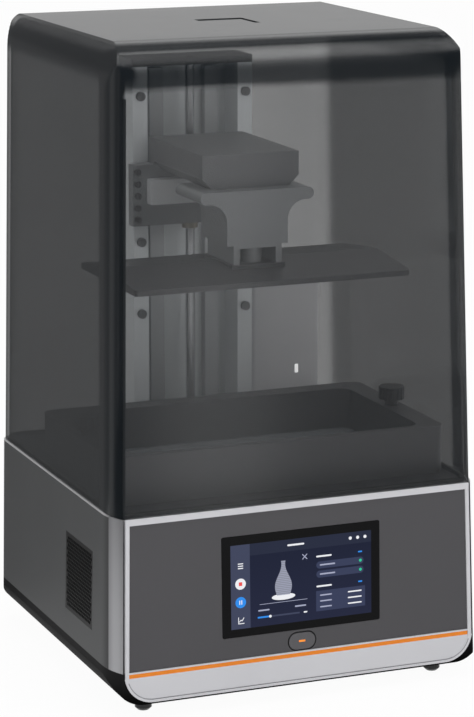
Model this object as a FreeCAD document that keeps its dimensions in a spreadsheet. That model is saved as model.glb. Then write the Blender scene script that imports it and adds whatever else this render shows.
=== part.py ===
import FreeCAD
import Part
import math
import os
import re
import Sketcher

# Driving dimensions in millimetres. The origin is on the table under the middle of the printer,
# X to the right, Y to the back, Z up. The front face and the sides lean inwards as they rise.
SIZES = {
    # housing
    "depth": 284.6,
    "total_height": 502.2,
    "joint_height": 154.7,
    "foot_height": 12,
    "foot_radius": 6.5,
    "foot_ramp": 18,
    "foot_ramp_half": 5,
    "foot_chamfer": 2,
    "foot_inset_x": 28.7,
    "foot_inset_y": 24.3,
    "side_half": 149.7,
    "front_step": 7.7,
    "side_lean": 0.023,
    "front_lean": 0.0338,
    "corner_radius": 56,
    "rear_radius": 16,
    "shell_wall": 2.5,
    "tray_wall": 3,
    "tray_height": 25.3,
    "tray_radius": 24,
    "bay_depth": 14,
    "column_depth": 16.5,
    "seam_gap": 0.5,
    "slip_gap": 0.2,
    "clear_gap": 0.35,
    # front face
    "face_gap": 1.1,
    "trim_height": 21.3,
    "trim_rim": 2.3,
    "trim_step": 0.4,
    "stripe_height": 3.2,
    "stripe_inset": 0.4,
    "frame_side": 4.2,
    "frame_top": 4.7,
    "frame_low": 1.2,
    "panel_inset": 0.8,
    "panel_thickness": 2.5,
    "glass_half": 65,
    "glass_drop": 21.7,
    "glass_rise": 18.2,
    "glass_radius": 1.5,
    "glass_inset": 0.5,
    "glass_thickness": 1.6,
    "screen_half": 58,
    "screen_rise": 6.2,
    "screen_drop": 6.9,
    "display_margin": 5,
    "display_thickness": 5,
    "button_half": 10.8,
    "button_radius": 6.5,
    "button_drop": 9.3,
    "button_travel": 1.2,
    "button_proud": 0.2,
    "button_lip": 0.8,
    "button_lip_thickness": 1.4,
    "mark_half": 2.6,
    "mark_half_height": 0.7,
    "mark_depth": 0.5,
    "switch_body": 6.2,
    "switch_rise": 3.4,
    "switch_board_half": 19,
    "switch_board_rise": 6.5,
    "board_thickness": 1.6,
    "boss_radius": 3,
    # deck and exposure unit
    "deck_thickness": 4,
    "seal_height": 3,
    "seal_width": 3,
    "exposure_ratio": 0.5625,
    "lcd_border": 3,
    "lcd_thickness": 2.2,
    "lcd_step": 1.6,
    "lcd_flange": 4,
    "box_flange": 8,
    "box_flange_thickness": 3,
    "box_wall": 2,
    "cooling_clearance": 12,
    "box_low_half_x": 62,
    "box_low_half_y": 40,
    "lens_drop": 22.7,
    "lens_thickness": 4,
    "led_board_thickness": 2,
    "sink_base": 6,
    "sink_fin": 20,
    "sink_fin_thickness": 1.6,
    "sink_fin_count": 12,
    # vat
    "vat_side_gap": 11.4,
    "vat_back_gap": 4.2,
    "vat_side_wall": 18.3,
    "vat_front_wall": 7.2,
    "vat_back_wall": 18.9,
    "vat_height": 37.7,
    "vat_radius": 8,
    "pool_margin_x": 10.6,
    "pool_margin_y": 7.5,
    "pool_radius": 10,
    "film_thickness": 0.3,
    "film_gap": 0.4,
    "film_frame_margin": 4.5,
    "knob_offset": 2.7,
    "knob_radius": 10.5,
    "knob_height": 10,
    "knob_stem_radius": 5.5,
    "knob_stem_height": 5,
    "knob_shank_radius": 3,
    "knob_reach": 3.5,
    "knob_flute_radius": 1.2,
    "knob_flute_count": 16,
    # tower and lift
    "tower_half": 51.5,
    "tower_back_gap": 24.3,
    "tower_depth": 33.6,
    "tower_height": 311.7,
    "flange_width": 12.6,
    "tower_web": 6,
    "cap_thickness": 6,
    "rail_x": 24,
    "rail_width": 12,
    "rail_depth": 8,
    "rail_end_gap": 4,
    "block_width": 27,
    "block_depth": 10,
    "block_length": 36,
    "block_lift": 3,
    "screw_inset": 7.6,
    "screw_radius": 4,
    "screw_hole_gap": 1.2,
    "screw_hole_radius": 8,
    "run_gap": 0.08,
    "motor_width": 42.3,
    "motor_height": 40,
    "motor_chamfer": 4.5,
    "nut_flange_radius": 11,
    "nut_flange_height": 4,
    "nut_barrel_radius": 6.5,
    "nut_barrel_height": 10.5,
    "arm_drop": 44,
    "carriage_height": 49.4,
    "carriage_half": 57.8,
    "carriage_gap": 6.4,
    "carriage_thickness": 10.4,
    "carriage_block_half": 36,
    "bolt_x": 54.4,
    "bolt_pitch": 9.6,
    "bolt_count": 5,
    "bolt_radius": 1.6,
    "bolt_head_radius": 2.7,
    "bolt_head_height": 3,
    "bolt_reach": 7,
    "bar_half": 46,
    "bar_rise": 18.3,
    "bar_height": 19.9,
    "bar_depth": 10.6,
    "tower_screw_radius": 2,
    "tower_screw_head": 3.7,
    "tower_screw_head_height": 3,
    "tower_screw_reach": 8,
    "tower_screw_top": 282.3,
    "tower_screw_middle": 164.3,
    "tower_screw_low": 105.3,
    # arm and build plate
    "arm_half": 40,
    "arm_height": 26.4,
    "arm_reach": 13.1,
    "arm_chamfer": 8,
    "bracket_half": 25.2,
    "bracket_half_depth": 26.8,
    "bracket_height": 42.3,
    "bracket_cove": 14.6,
    "bracket_flange_half": 46.8,
    "bracket_flange": 9.4,
    "neck_half": 20,
    "neck_height": 14.7,
    "neck_wall": 5,
    "neck_depth": 26,
    "ball_radius": 8,
    "platform_low": 310.9,
    "platform_margin_x": 3.7,
    "platform_margin_y": 1,
    "platform_edge": 4.3,
    "platform_roof": 6.8,
    "platform_corner": 3,
    "platform_pad_margin": 2,
    # hood
    "hood_step": 1.2,
    "hood_wall": 3,
    "shoulder_radius": 64,
    "shoulder_rise": 36,
    "brow_radius": 37.9,
    "crown_radius": 15,
    "recess_half": 20,
    "recess_depth": 0.8,
    "recess_y": 11,
    # fans
    "vent_setback": 77.48,
    "vent_rise": 51.2,
    "vent_half": 30.7,
    "grille_inset": 0.1,
    "grille_thickness": 1.7,
    "grille_pitch": 3.4,
    "grille_cell_radius": 1.6,
    "grille_border": 0.4,
    "vent_fan_size": 60,
    "vent_fan_thickness": 15,
    "cooling_fan_size": 60,
    "cooling_fan_thickness": 15,
    "purifier_fan_size": 50,
    "purifier_fan_thickness": 12,
    "fan_rim": 1.5,
    "fan_corner": 3,
    "fan_tip_gap": 1.5,
    "fan_hub_radius": 11,
    "fan_strut_width": 3,
    "fan_strut_thickness": 1.2,
    "fan_pin_radius": 1.5,
    "fan_float": 0.4,
    "fan_blade_count": 7,
    "fan_blade_root": 9,
    "fan_blade_thickness": 1.4,
    "fan_blade_sweep": 11,
    # air purifier
    "purifier_tower_gap": 10.5,
    "purifier_width": 62,
    "purifier_back_gap": 9.3,
    "purifier_depth": 23.5,
    "purifier_height": 120,
    "purifier_wall": 2,
    "purifier_edge": 4,
    "purifier_fan_rise": 35,
    "filter_rise": 68,
    "filter_height": 46,
    "filter_depth": 18,
    "lamp_inset": 40.7,
    "lamp_rise": 42,
    "lamp_half": 1.5,
    "lamp_half_height": 3.6,
    # rear panel and electronics
    "rear_side_gap": 39.7,
    "rear_rise": 10.7,
    "rear_drop": 14.7,
    "rear_thickness": 2,
    "rear_overlap": 5,
    "inlet_x": -70,
    "inlet_half": 13.5,
    "inlet_half_height": 10,
    "inlet_lip": 2.5,
    "inlet_lip_thickness": 2,
    "inlet_depth": 22,
    "inlet_socket": 18,
    "inlet_wall": 1.8,
    "inlet_pin": 1,
    "inlet_pin_height": 4,
    "inlet_pin_pitch": 7,
    "inlet_pin_length": 14,
    "rocker_x": -25,
    "rocker_radius": 8,
    "rocker_half": 5,
    "rocker_wall": 2,
    "rocker_lip": 2,
    "rocker_depth": 12,
    "rocker_sink": 1.5,
    "rocker_tip": 6.4,
    "rocker_tilt": 9,
    "usb_x": 40,
    "usb_half": 7,
    "usb_half_height": 3.6,
    "usb_depth": 16,
    "usb_wall": 0.8,
    "usb_tongue": 1.9,
    "supply_side_gap": 23.7,
    "supply_width": 88,
    "supply_back_gap": 24.3,
    "supply_depth": 84,
    "supply_height": 34,
    "board_side_gap": 13.7,
    "board_width": 70,
    "board_back_gap": 108.3,
    "board_depth": 108,
    "post_height": 6,
    "post_radius": 3,
    "post_inset": 5,
    "chip_half": 11,
    "chip_height": 7,
}

doc = FreeCAD.newDocument("ResinPrinter")
sheet = doc.addObject("Spreadsheet::Sheet", "Sizes")
for row, (alias, size) in enumerate(SIZES.items(), 1):
    sheet.set(f"A{row}", alias)
    sheet.set(f"B{row}", str(size))
    sheet.setAlias(f"B{row}", alias)
doc.recompute()

# Lengths that follow from the driving ones, so that pieces keep their clearances when a size changes.
TIES = {
    "front_half": "side_half - front_step",
    "foot_x": "side_half - foot_inset_x",
    "foot_y": "depth/2 - foot_inset_y",
    "exposure_half_x": "side_half - vat_side_gap - vat_side_wall - pool_margin_x",
    "exposure_half_y": "exposure_half_x*exposure_ratio",
    "plate_y": "carriage_front - vat_back_gap - vat_back_wall - pool_margin_y - exposure_half_y",
    "tower_front": "depth/2 - tower_back_gap - tower_depth",
    "screw_y": "tower_front + screw_inset",
    "carriage_front": "tower_front - carriage_gap - carriage_thickness",
    "vent_y": "front_lean*(joint_height - foot_height) - depth/2 + vent_setback",
    "purifier_left": "tower_half + purifier_tower_gap",
    "purifier_front": "depth/2 - purifier_back_gap - purifier_depth",
    "lamp_x": "purifier_left + lamp_inset",
    "rear_half": "side_half - rear_side_gap",
    "supply_left": "supply_side_gap - side_half",
    "supply_front": "depth/2 - supply_back_gap - supply_depth",
    "board_left": "side_half - board_side_gap - board_width",
    "board_front": "depth/2 - board_back_gap - board_depth",
}
TIED = re.compile(r"\b(" + "|".join(TIES) + r")\b")
ALIASES = re.compile(r"\b(" + "|".join(SIZES) + r")\b")
nodes = {}


def spell_out(formula):
    """A formula with every tied length written out in the sheet's aliases."""
    while TIED.search(formula):
        formula = TIED.sub(lambda found: f"({TIES[found.group(0)]})", formula)
    return formula


def bind(item, field, formula):
    """Bind a property to a formula in the sheet's aliases and the tied lengths."""
    item.setExpression(field, ALIASES.sub(r"Sizes.\g<0>", spell_out(formula)))


def number(formula):
    """The present value of such a formula."""
    return float(sheet.evalExpression(spell_out(formula)))


def keep(item, name):
    """Name a finished object as a piece of the printer."""
    item.Label = name
    nodes[name] = item
    return item


def new_body(name, x="0", y="0", z="0", axis=(0, 0, 1), angle="0"):
    """A body placed by formulas, turned about an axis by an angle in degrees."""
    body = doc.addObject("PartDesign::Body", name)
    body.Placement.Rotation = FreeCAD.Rotation(FreeCAD.Vector(*axis), number(angle))
    for field, formula in zip("xyz", (x, y, z)):
        bind(body, f"Placement.Base.{field}", formula)
    if number(angle):
        bind(body, "Placement.Rotation.Angle", angle)
    return body


def sketch_on(body, plane, level):
    """A sketch on one of the body's planes, moved to a level along the axis square to it."""
    sketch = body.newObject("Sketcher::SketchObject", f"{body.Name}_sketch")
    base = next(item for item in body.Origin.OriginFeatures if item.Role == plane)
    sketch.AttachmentSupport = [(base, "")]
    sketch.MapMode = "FlatFace"
    bind(sketch, "AttachmentOffset.Base.z", f"-({level})" if plane == "XZ_Plane" else level)
    return sketch


def pin_point(sketch, edge, end, x, y):
    """Hold an edge's end at a place given by two formulas."""
    for kind, formula in (("DistanceX", x), ("DistanceY", y)):
        index = sketch.addConstraint(Sketcher.Constraint(kind, -1, 1, edge, end, number(formula)))
        bind(sketch, f"Constraints[{index}]", formula)


def bulge(start, end, radius, side):
    """The arc between two points whose centre is on the left (side 1) or right (side -1) of the way."""
    chord = end - start
    square = FreeCAD.Vector(-chord.y, chord.x, 0).normalize() * side
    centre = (start + end) * 0.5 + square * math.sqrt(max(radius**2 - chord.Length**2 / 4, 0))
    return Part.Arc(start, centre - square * radius, end)


def outline(sketch, corners):
    """A closed loop through corners (x, y). A third value is the radius of an arc to the next corner,
    and a fourth of -1 makes that arc hollow."""
    first = sketch.GeometryCount
    count = len(corners)
    places = [FreeCAD.Vector(number(corner[0]), number(corner[1]), 0) for corner in corners]
    ends = []
    for index, corner in enumerate(corners):
        start, end = places[index], places[(index + 1) % count]
        if len(corner) == 2:
            sketch.addGeometry(Part.LineSegment(start, end), False)
            ends.append((1, 2))
            continue
        side = corner[3] if len(corner) == 4 else 1
        sketch.addGeometry(bulge(start, end, number(corner[2]), side), False)
        ends.append((1, 2) if side == 1 else (2, 1))
    for index, corner in enumerate(corners):
        after = (index + 1) % count
        sketch.addConstraint(
            Sketcher.Constraint("Coincident", first + index, ends[index][1], first + after, ends[after][0])
        )
        pin_point(sketch, first + index, ends[index][0], corner[0], corner[1])
        if len(corner) > 2:
            radius = sketch.addConstraint(Sketcher.Constraint("Radius", first + index, number(corner[2])))
            bind(sketch, f"Constraints[{radius}]", corner[2])


def circle(sketch, x, y, radius):
    """A circle with its centre and radius held by formulas."""
    edge = sketch.GeometryCount
    centre = FreeCAD.Vector(number(x), number(y), 0)
    sketch.addGeometry(Part.Circle(centre, FreeCAD.Vector(0, 0, 1), number(radius)), False)
    pin_point(sketch, edge, 3, x, y)
    size = sketch.addConstraint(Sketcher.Constraint("Radius", edge, number(radius)))
    bind(sketch, f"Constraints[{size}]", radius)


def draw(sketch, loops):
    """Draw each loop: three formulas in a tuple are a circle, a list of corners is an outline."""
    for loop in loops:
        if isinstance(loop, tuple):
            circle(sketch, *loop)
        else:
            outline(sketch, loop)


def pad(body, plane, low, high, *loops):
    """Material between two levels along the axis square to a plane."""
    sketch = sketch_on(body, plane, high if plane == "XZ_Plane" else low)
    draw(sketch, loops)
    feature = body.newObject("PartDesign::Pad", f"{body.Name}_pad")
    feature.Profile = sketch
    bind(feature, "Length", f"({high}) - ({low})")
    return feature


def pocket(body, plane, low, high, *loops):
    """A cut between two levels along the axis square to a plane."""
    sketch = sketch_on(body, plane, low if plane == "XZ_Plane" else high)
    draw(sketch, loops)
    feature = body.newObject("PartDesign::Pocket", f"{body.Name}_pocket")
    feature.Profile = sketch
    bind(feature, "Length", f"({high}) - ({low})")
    return feature


def loft(body, kind, low, low_loop, high, high_loop):
    """A ruled body, added or cut, between two loops at two heights."""
    sections = []
    for level, loop in ((low, low_loop), (high, high_loop)):
        sketch = sketch_on(body, "XY_Plane", level)
        draw(sketch, [loop])
        sections.append(sketch)
    feature = body.newObject(f"PartDesign::{kind}Loft", f"{body.Name}_loft")
    feature.Profile = sections[0]
    feature.Sections = [sections[1]]
    feature.Ruled = True
    return feature


def rectangle(left, right, low, high):
    """Four corners, counter-clockwise."""
    return [(left, low), (right, low), (right, high), (left, high)]


def rounded(left, right, low, high, radius):
    """A rectangle with its four corners rounded."""
    return [
        (f"{left} + {radius}", low),
        (f"{right} - {radius}", low, radius),
        (right, f"{low} + {radius}"),
        (right, f"{high} - {radius}", radius),
        (f"{right} - {radius}", high),
        (f"{left} + {radius}", high, radius),
        (left, f"{high} - {radius}"),
        (left, f"{low} + {radius}", radius),
    ]


def pill(half, middle, radius):
    """A slot shape about x = 0, each round end made of two quarter arcs."""
    flat = f"({half} - {radius})"
    return [
        (f"-{flat}", f"{middle} - {radius}"),
        (flat, f"{middle} - {radius}", radius),
        (half, middle, radius),
        (flat, f"{middle} + {radius}"),
        (f"-{flat}", f"{middle} + {radius}", radius),
        (f"-({half})", middle, radius),
    ]


def box(name, x, y, z):
    """A block between pairs of formulas along the three axes."""
    block = doc.addObject("Part::Box", name)
    for size, field, (low, high) in zip(("Length", "Width", "Height"), "xyz", (x, y, z)):
        bind(block, size, f"({high}) - ({low})")
        bind(block, f"Placement.Base.{field}", low)
    return block


def rod(name, x, y, z, radius, length, along="z"):
    """A round bar that starts at a point and runs along an axis."""
    bar = doc.addObject("Part::Cylinder", name)
    turns = {"x": ((0, 1, 0), 90), "y": ((1, 0, 0), -90), "z": ((0, 0, 1), 0)}
    axis, angle = turns[along]
    bar.Placement.Rotation = FreeCAD.Rotation(FreeCAD.Vector(*axis), angle)
    bind(bar, "Radius", radius)
    bind(bar, "Height", length)
    for field, formula in zip("xyz", (x, y, z)):
        bind(bar, f"Placement.Base.{field}", formula)
    return bar


def fuse(name, *pieces):
    """One solid made of several."""
    whole = doc.addObject("Part::MultiFuse", name)
    whole.Shapes = list(pieces)
    whole.Refine = True
    return whole


def group(name, *pieces):
    """Several separate solids under one name."""
    whole = doc.addObject("Part::Compound", name)
    whole.Links = list(pieces)
    return whole


def cut(name, base, tool):
    """A solid with another taken out of it."""
    rest = doc.addObject("Part::Cut", name)
    rest.Base = base
    rest.Tool = tool
    return rest


# Heights and lines that many pieces share.
BACK = "(depth/2)"
FRONT = "(front_lean*(joint_height - foot_height) - depth/2)"
SLOPE = "sqrt(1 + front_lean^2)"
STEP = "(side_half - front_half)"
ARC_RUN = f"sqrt(2*corner_radius*{STEP} - {STEP}^2)"
SEAM = "(foot_height + tray_height)"
DECK_LOW = "(joint_height - deck_thickness)"
PANEL_BACK = "(panel_inset + panel_thickness)"
STRIPE_LOW = "(foot_height + trim_height)"
STRIPE_TOP = f"({STRIPE_LOW} + stripe_height)"
GLASS_TOP = "(joint_height - glass_drop)"
GLASS_LOW = f"({STRIPE_TOP} + glass_rise)"
SCREEN_LOW = f"({GLASS_LOW} + screen_rise)"
SCREEN_TOP = f"({GLASS_TOP} - screen_drop)"
BUTTON_Z = f"({GLASS_LOW} - button_drop)"
VENT_Z = f"({SEAM} + vent_rise)"
REAR_LOW = f"({SEAM} + rear_rise)"
REAR_TOP = f"({DECK_LOW} - rear_drop)"
PORT_Z = f"(({REAR_LOW} + {REAR_TOP})/2)"
FAN_LOW = "(foot_height + tray_wall + cooling_clearance)"
SINK_LOW = f"({FAN_LOW} + cooling_fan_thickness)"
BOX_LOW = f"({SINK_LOW} + sink_fin + sink_base + led_board_thickness)"
LENS_LOW = f"({DECK_LOW} - lens_drop)"
BUTTON_FACE = "(panel_inset - button_proud)"
BUTTON_LIP = f"({PANEL_BACK} + clear_gap)"
BUTTON_BACK = f"({BUTTON_LIP} + button_lip_thickness)"
SWITCH_FACE = f"({BUTTON_BACK} + button_travel + clear_gap)"
SWITCH_BOARD = f"({SWITCH_FACE} + switch_rise)"
BOSS_X = "(button_half + button_lip + boss_radius + clear_gap)"
POOL_X = "(exposure_half_x + pool_margin_x)"
POOL_Y = "(exposure_half_y + pool_margin_y)"
KNOB_X = f"({POOL_X} + vat_side_wall/2)"
KNOB_Y = "(plate_y + knob_offset)"
LCD_HALF_X = "(exposure_half_x + lcd_border)"
LCD_HALF_Y = "(exposure_half_y + lcd_border)"
PURIFIER_X = "(purifier_left + purifier_width/2)"
FILM_LOW = "(joint_height + lcd_step + lcd_thickness + film_gap)"
VAT_TOP = "(joint_height + vat_height)"
VAT_HALF = f"({POOL_X} + vat_side_wall)"
TOWER_BACK = "(tower_front + tower_depth)"
WEB_FACE = f"({TOWER_BACK} - tower_web)"
TOWER_TOP = "(joint_height + tower_height)"
CAP_LOW = f"({TOWER_TOP} - cap_thickness)"
BLOCK_FACE = f"({WEB_FACE} - block_lift - block_depth)"
CARRIAGE_BACK = "(carriage_front + carriage_thickness)"
NECK_LOW = "(platform_low + platform_edge + platform_roof)"
NECK_TOP = f"({NECK_LOW} + neck_height)"
ARM_LOW = f"({NECK_TOP} + bracket_height)"
ARM_TOP = f"({ARM_LOW} + arm_height)"
CARRIAGE_LOW = f"({ARM_LOW} - arm_drop)"
CARRIAGE_TOP = f"({CARRIAGE_LOW} + carriage_height)"
CARRIAGE_MIDDLE = f"({CARRIAGE_LOW} + carriage_height/2)"
BLOCK_LOW = f"({CARRIAGE_MIDDLE} - block_length/2)"
BLOCK_TOP = f"({CARRIAGE_MIDDLE} + block_length/2)"
BRACKET_FRONT = "(plate_y - bracket_half_depth)"
BRACKET_BACK = "(plate_y + bracket_half_depth)"
REAR_FACE = f"({BACK} - shell_wall)"
ROCKER_OUT = "(rocker_half + clear_gap + rocker_wall)"
ROCKER_TALL = "(rocker_radius + clear_gap + rocker_wall)"
PORTS = (
    ("inlet_x", "inlet_half", "inlet_half_height"),
    ("rocker_x", ROCKER_OUT, ROCKER_TALL),
    ("usb_x", "usb_half", "usb_half_height"),
)


def half_width(level):
    """Half the width between the leaning sides at a height."""
    return f"(side_half - side_lean*({level} - joint_height))"


def face_half(level):
    """Half the width of the front face at a height."""
    return f"(front_half - side_lean*({level} - joint_height))"


def front_line(level):
    """Where the leaning front face is at a height."""
    return f"({FRONT} + front_lean*({level} - joint_height))"


def plan(level, inset="0", front_inset=None):
    """The housing's plan at a height: flat front, arced front corners, straight sides, round rear corners."""
    front_inset = front_inset or inset
    half, front = half_width(level), front_line(level)
    arc = f"(corner_radius - ({inset}))"
    crease = f"({half} - corner_radius + sqrt({arc}^2 - ({ARC_RUN} - ({front_inset}))^2))"
    face = f"({front} + {front_inset})"
    side, tangent = f"({half} - ({inset}))", f"({front} + {ARC_RUN})"
    turn, rear_arc = f"({half} - rear_radius)", f"(rear_radius - ({inset}))"
    bend, rear = f"({BACK} - rear_radius)", f"({BACK} - ({inset}))"
    return [
        (f"-{crease}", face),
        (crease, face, arc),
        (side, tangent),
        (side, bend, rear_arc),
        (turn, rear),
        (f"-{turn}", rear, rear_arc),
        (f"-{side}", bend),
        (f"-{side}", tangent, arc),
    ]


def bay(level):
    """The space that the front face's pieces fill, open to the front."""
    half = f"({face_half(level)} + seam_gap)"
    front = front_line(level)
    return rectangle(f"-{half}", half, f"{front} - bay_depth", f"{front} + bay_depth")


def leaning_body(name):
    """A body whose XZ plane lies in the leaning front face, with Z from the joint line up."""
    return new_body(name, "0", FRONT, "joint_height", (-1, 0, 0), "atan(front_lean)")


def up(level):
    """A height above the table, measured along the leaning front face."""
    return f"(({level}) - joint_height)*{SLOPE}"


def make_tray_form(name, inset, front_inset):
    """The bottom tray's outer or inner form, with its lower side edges rounded."""
    body = new_body(name)
    floor = f"(foot_height + {inset})"
    loft(body, "Additive", floor, plan(floor, inset, front_inset), SEAM, plan(SEAM, inset, front_inset))
    centre_x, centre_z = f"({half_width('foot_height')} - tray_radius)", "(foot_height + tray_radius)"
    arc = f"(tray_radius - {inset})"
    reach, below = "(side_half + tray_radius)", "(-tray_radius)"
    right = [
        (centre_x, f"{centre_z} - {arc}", arc),
        (f"{centre_x} + {arc}", centre_z),
        (reach, centre_z),
        (reach, below),
        (centre_x, below),
    ]
    left = [
        (f"-{centre_x} - {arc}", centre_z, arc),
        (f"-{centre_x}", f"{centre_z} - {arc}"),
        (f"-{centre_x}", below),
        (f"-{reach}", below),
        (f"-{reach}", centre_z),
    ]
    pocket(body, "XZ_Plane", "-depth", "depth", right, left)
    return body


def make_bottom_tray():
    """Black tray that carries the feet, with posts for the main board."""
    outer = make_tray_form("tray_outer", "0", "0")
    inner = make_tray_form("tray_inner", "tray_wall", "bay_depth + tray_wall")
    notch = leaning_body("trim_notch")
    flat, low = f"({face_half('foot_height')} - tray_radius)", up("foot_height")
    over = f"({SEAM} + tray_wall)"
    arc = "(tray_radius - face_gap + slip_gap)"
    edge, lip = f"({flat} + {arc})", "(face_gap - slip_gap)"
    pad(
        notch, "XZ_Plane", "-bay_depth", "bay_depth",
        [
            (f"-{flat}", f"{low} + {lip}"),
            (flat, f"{low} + {lip}", arc),
            (edge, f"{low} + tray_radius"),
            (edge, up(over)),
            (f"-{edge}", up(over)),
            (f"-{edge}", f"{low} + tray_radius", arc),
        ],
    )
    tray = cut("tray_notched", cut("tray_hollow", outer, inner), notch)
    posts, floor = [], "foot_height + tray_wall"
    for side_x in ("board_left + post_inset", "board_left + board_width - post_inset"):
        for side_y in ("board_front + post_inset", "board_front + board_depth - post_inset"):
            posts.append(rod("board_post", side_x, side_y, floor, "post_radius", "post_height"))
    keep(fuse("bottom_tray", tray, *posts), "bottom_tray")


def make_base_shell():
    """Side shell with a vent and a rear window, and the pair of rounded columns at its front edges."""
    body = new_body("shell_ring")
    loft(body, "Additive", SEAM, plan(SEAM), "joint_height", plan("joint_height"))
    under, over = f"({SEAM} - shell_wall)", "(joint_height + shell_wall)"
    loft(body, "Subtractive", under, plan(under, "shell_wall"), over, plan(over, "shell_wall"))
    loft(body, "Subtractive", under, bay(under), over, bay(over))
    window = rectangle("-rear_half", "rear_half", REAR_LOW, REAR_TOP)
    pocket(body, "XZ_Plane", f"{BACK} - rear_radius", f"{BACK} + rear_radius", window)
    edge = "(vent_half + slip_gap)"
    vent = rectangle(f"vent_y - {edge}", f"vent_y + {edge}", f"{VENT_Z} - {edge}", f"{VENT_Z} + {edge}")
    pocket(body, "YZ_Plane", "-side_half - corner_radius", "-front_half", vent)
    fronts = []
    for back in ("column_depth", "(column_depth - slip_gap)"):
        front = leaning_body("shell_front")
        reach = "(side_half + corner_radius)"
        slab = rectangle(f"-{reach}", reach, "-joint_height", "tray_height")
        pad(front, "XZ_Plane", "-bay_depth", back, slab)
        fronts.append(front)
    keep(cut("base_shell", body, fronts[0]), "base_shell")
    columns = doc.addObject("Part::MultiCommon", "front_columns")
    columns.Shapes = [body, fronts[1]]
    return columns


def make_vent_grille():
    """Honeycomb plate in the left side, leaning with the shell."""
    outside = f"(-{half_width(VENT_Z)} + grille_inset)"
    plate = new_body("grille_plate", outside, "vent_y", VENT_Z, (0, 1, 0), "atan(side_lean)")
    pad(
        plate, "YZ_Plane", "0", "grille_thickness",
        rectangle("-vent_half", "vent_half", "-vent_half", "vent_half"),
    )
    cells = []
    field = number("(vent_half - grille_border - grille_cell_radius)")
    row_pitch = number("grille_pitch")*math.sqrt(3)/2
    rows = int(field//row_pitch)
    for row in range(-rows, rows + 1):
        shift = 0.5*(row % 2)
        columns = int(field//number("grille_pitch") - shift)
        for column in range(-columns - (row % 2), columns + 1):
            cell = doc.addObject("Part::Prism", "grille_cell")
            cell.Polygon = 6
            cell.Placement.Rotation = FreeCAD.Rotation(FreeCAD.Vector(0, 1, 0), 90)
            bind(cell, "Circumradius", "grille_cell_radius")
            bind(cell, "Height", "vent_half")
            bind(cell, "Placement.Base.x", f"{outside} - vent_half/2")
            bind(cell, "Placement.Base.y", f"vent_y + grille_pitch*({column} + {shift})")
            bind(cell, "Placement.Base.z", f"{VENT_Z} + grille_pitch*{row}*sqrt(3)/2")
            cells.append(cell)
    keep(cut("vent_grille", plate, group("grille_cells", *cells)), "vent_grille")


def make_front_trim(columns):
    """Pale lower trim with a raised rim, the orange stripe, and the pale frame with its columns."""
    flat, low = f"({face_half('foot_height')} - tray_radius)", f"({up('foot_height')} + face_gap)"
    top, drop = up(STRIPE_LOW), "(tray_radius - trim_height)"
    arc = "(tray_radius - face_gap)"
    top_half = f"({flat} + sqrt({arc}^2 - {drop}^2))"
    trim = leaning_body("lower_trim")
    pad(
        trim, "XZ_Plane", "0", "bay_depth",
        [(f"-{flat}", low), (flat, low, arc), (top_half, top), (f"-{top_half}", top, arc)],
    )
    ends, inner_arc = f"({face_half(STRIPE_LOW)} - frame_side)", f"({arc} - trim_rim)"
    inner_low, over = f"({low} + trim_rim)", f"({top} + trim_height)"
    pocket(
        trim, "XZ_Plane", "0", "trim_step",
        [
            (f"-{flat}", inner_low),
            (flat, inner_low, inner_arc),
            (ends, top),
            (ends, over),
            (f"-{ends}", over),
            (f"-{ends}", top, inner_arc),
        ],
    )
    keep(trim, "lower_trim")
    stripe = leaning_body("accent_stripe")
    tips = f"({ends} - slip_gap)"
    band = rectangle(f"-{tips}", tips, top, up(STRIPE_TOP))
    pad(stripe, "XZ_Plane", "stripe_inset", "bay_depth", band)
    keep(stripe, "accent_stripe")
    frame = leaning_body("frame_ring")
    leg, crown = f"({face_half(STRIPE_LOW)} - face_gap)", f"({face_half('joint_height')} - face_gap)"
    outer = [
        (f"-{leg}", top),
        (f"-{ends}", top),
        (f"-{ends}", up(STRIPE_TOP)),
        (ends, up(STRIPE_TOP)),
        (ends, top),
        (leg, top),
        (crown, "0"),
        (f"-{crown}", "0"),
    ]
    pad(frame, "XZ_Plane", "0", "bay_depth", outer, panel_outline("0"))
    keep(group("front_frame", frame, columns), "front_frame")


def panel_outline(gap):
    """The opening in the front frame, or the panel in it when a gap is given."""
    low, high = f"({STRIPE_TOP} + frame_low + {gap})", f"(joint_height - frame_top - {gap})"
    inset = f"(frame_side + {gap})"
    return [
        (f"{inset} - {face_half(low)}", up(low)),
        (f"{face_half(low)} - {inset}", up(low)),
        (f"{face_half(high)} - {inset}", up(high)),
        (f"{inset} - {face_half(high)}", up(high)),
    ]


def make_front_panel():
    """Dark panel with a seat and window for the screen, the button's hole and two bosses for its switch."""
    panel = leaning_body("front_panel")
    hole = pill("button_half + clear_gap", up(BUTTON_Z), "(button_radius + clear_gap)")
    window = rectangle("-screen_half", "screen_half", up(SCREEN_LOW), up(SCREEN_TOP))
    pad(panel, "XZ_Plane", "panel_inset", PANEL_BACK, panel_outline("slip_gap"), hole, window)
    seat = rounded(
        "(-glass_half - slip_gap)", "(glass_half + slip_gap)", f"({up(GLASS_LOW)} - slip_gap)",
        f"({up(GLASS_TOP)} + slip_gap)", "glass_radius",
    )
    pocket(panel, "XZ_Plane", "panel_inset", "glass_inset + glass_thickness", seat)
    bosses = [(f"{side}{BOSS_X}", up(BUTTON_Z), "boss_radius") for side in ("-", "")]
    pad(panel, "XZ_Plane", PANEL_BACK, SWITCH_BOARD, *bosses)
    keep(panel, "front_panel")


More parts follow.
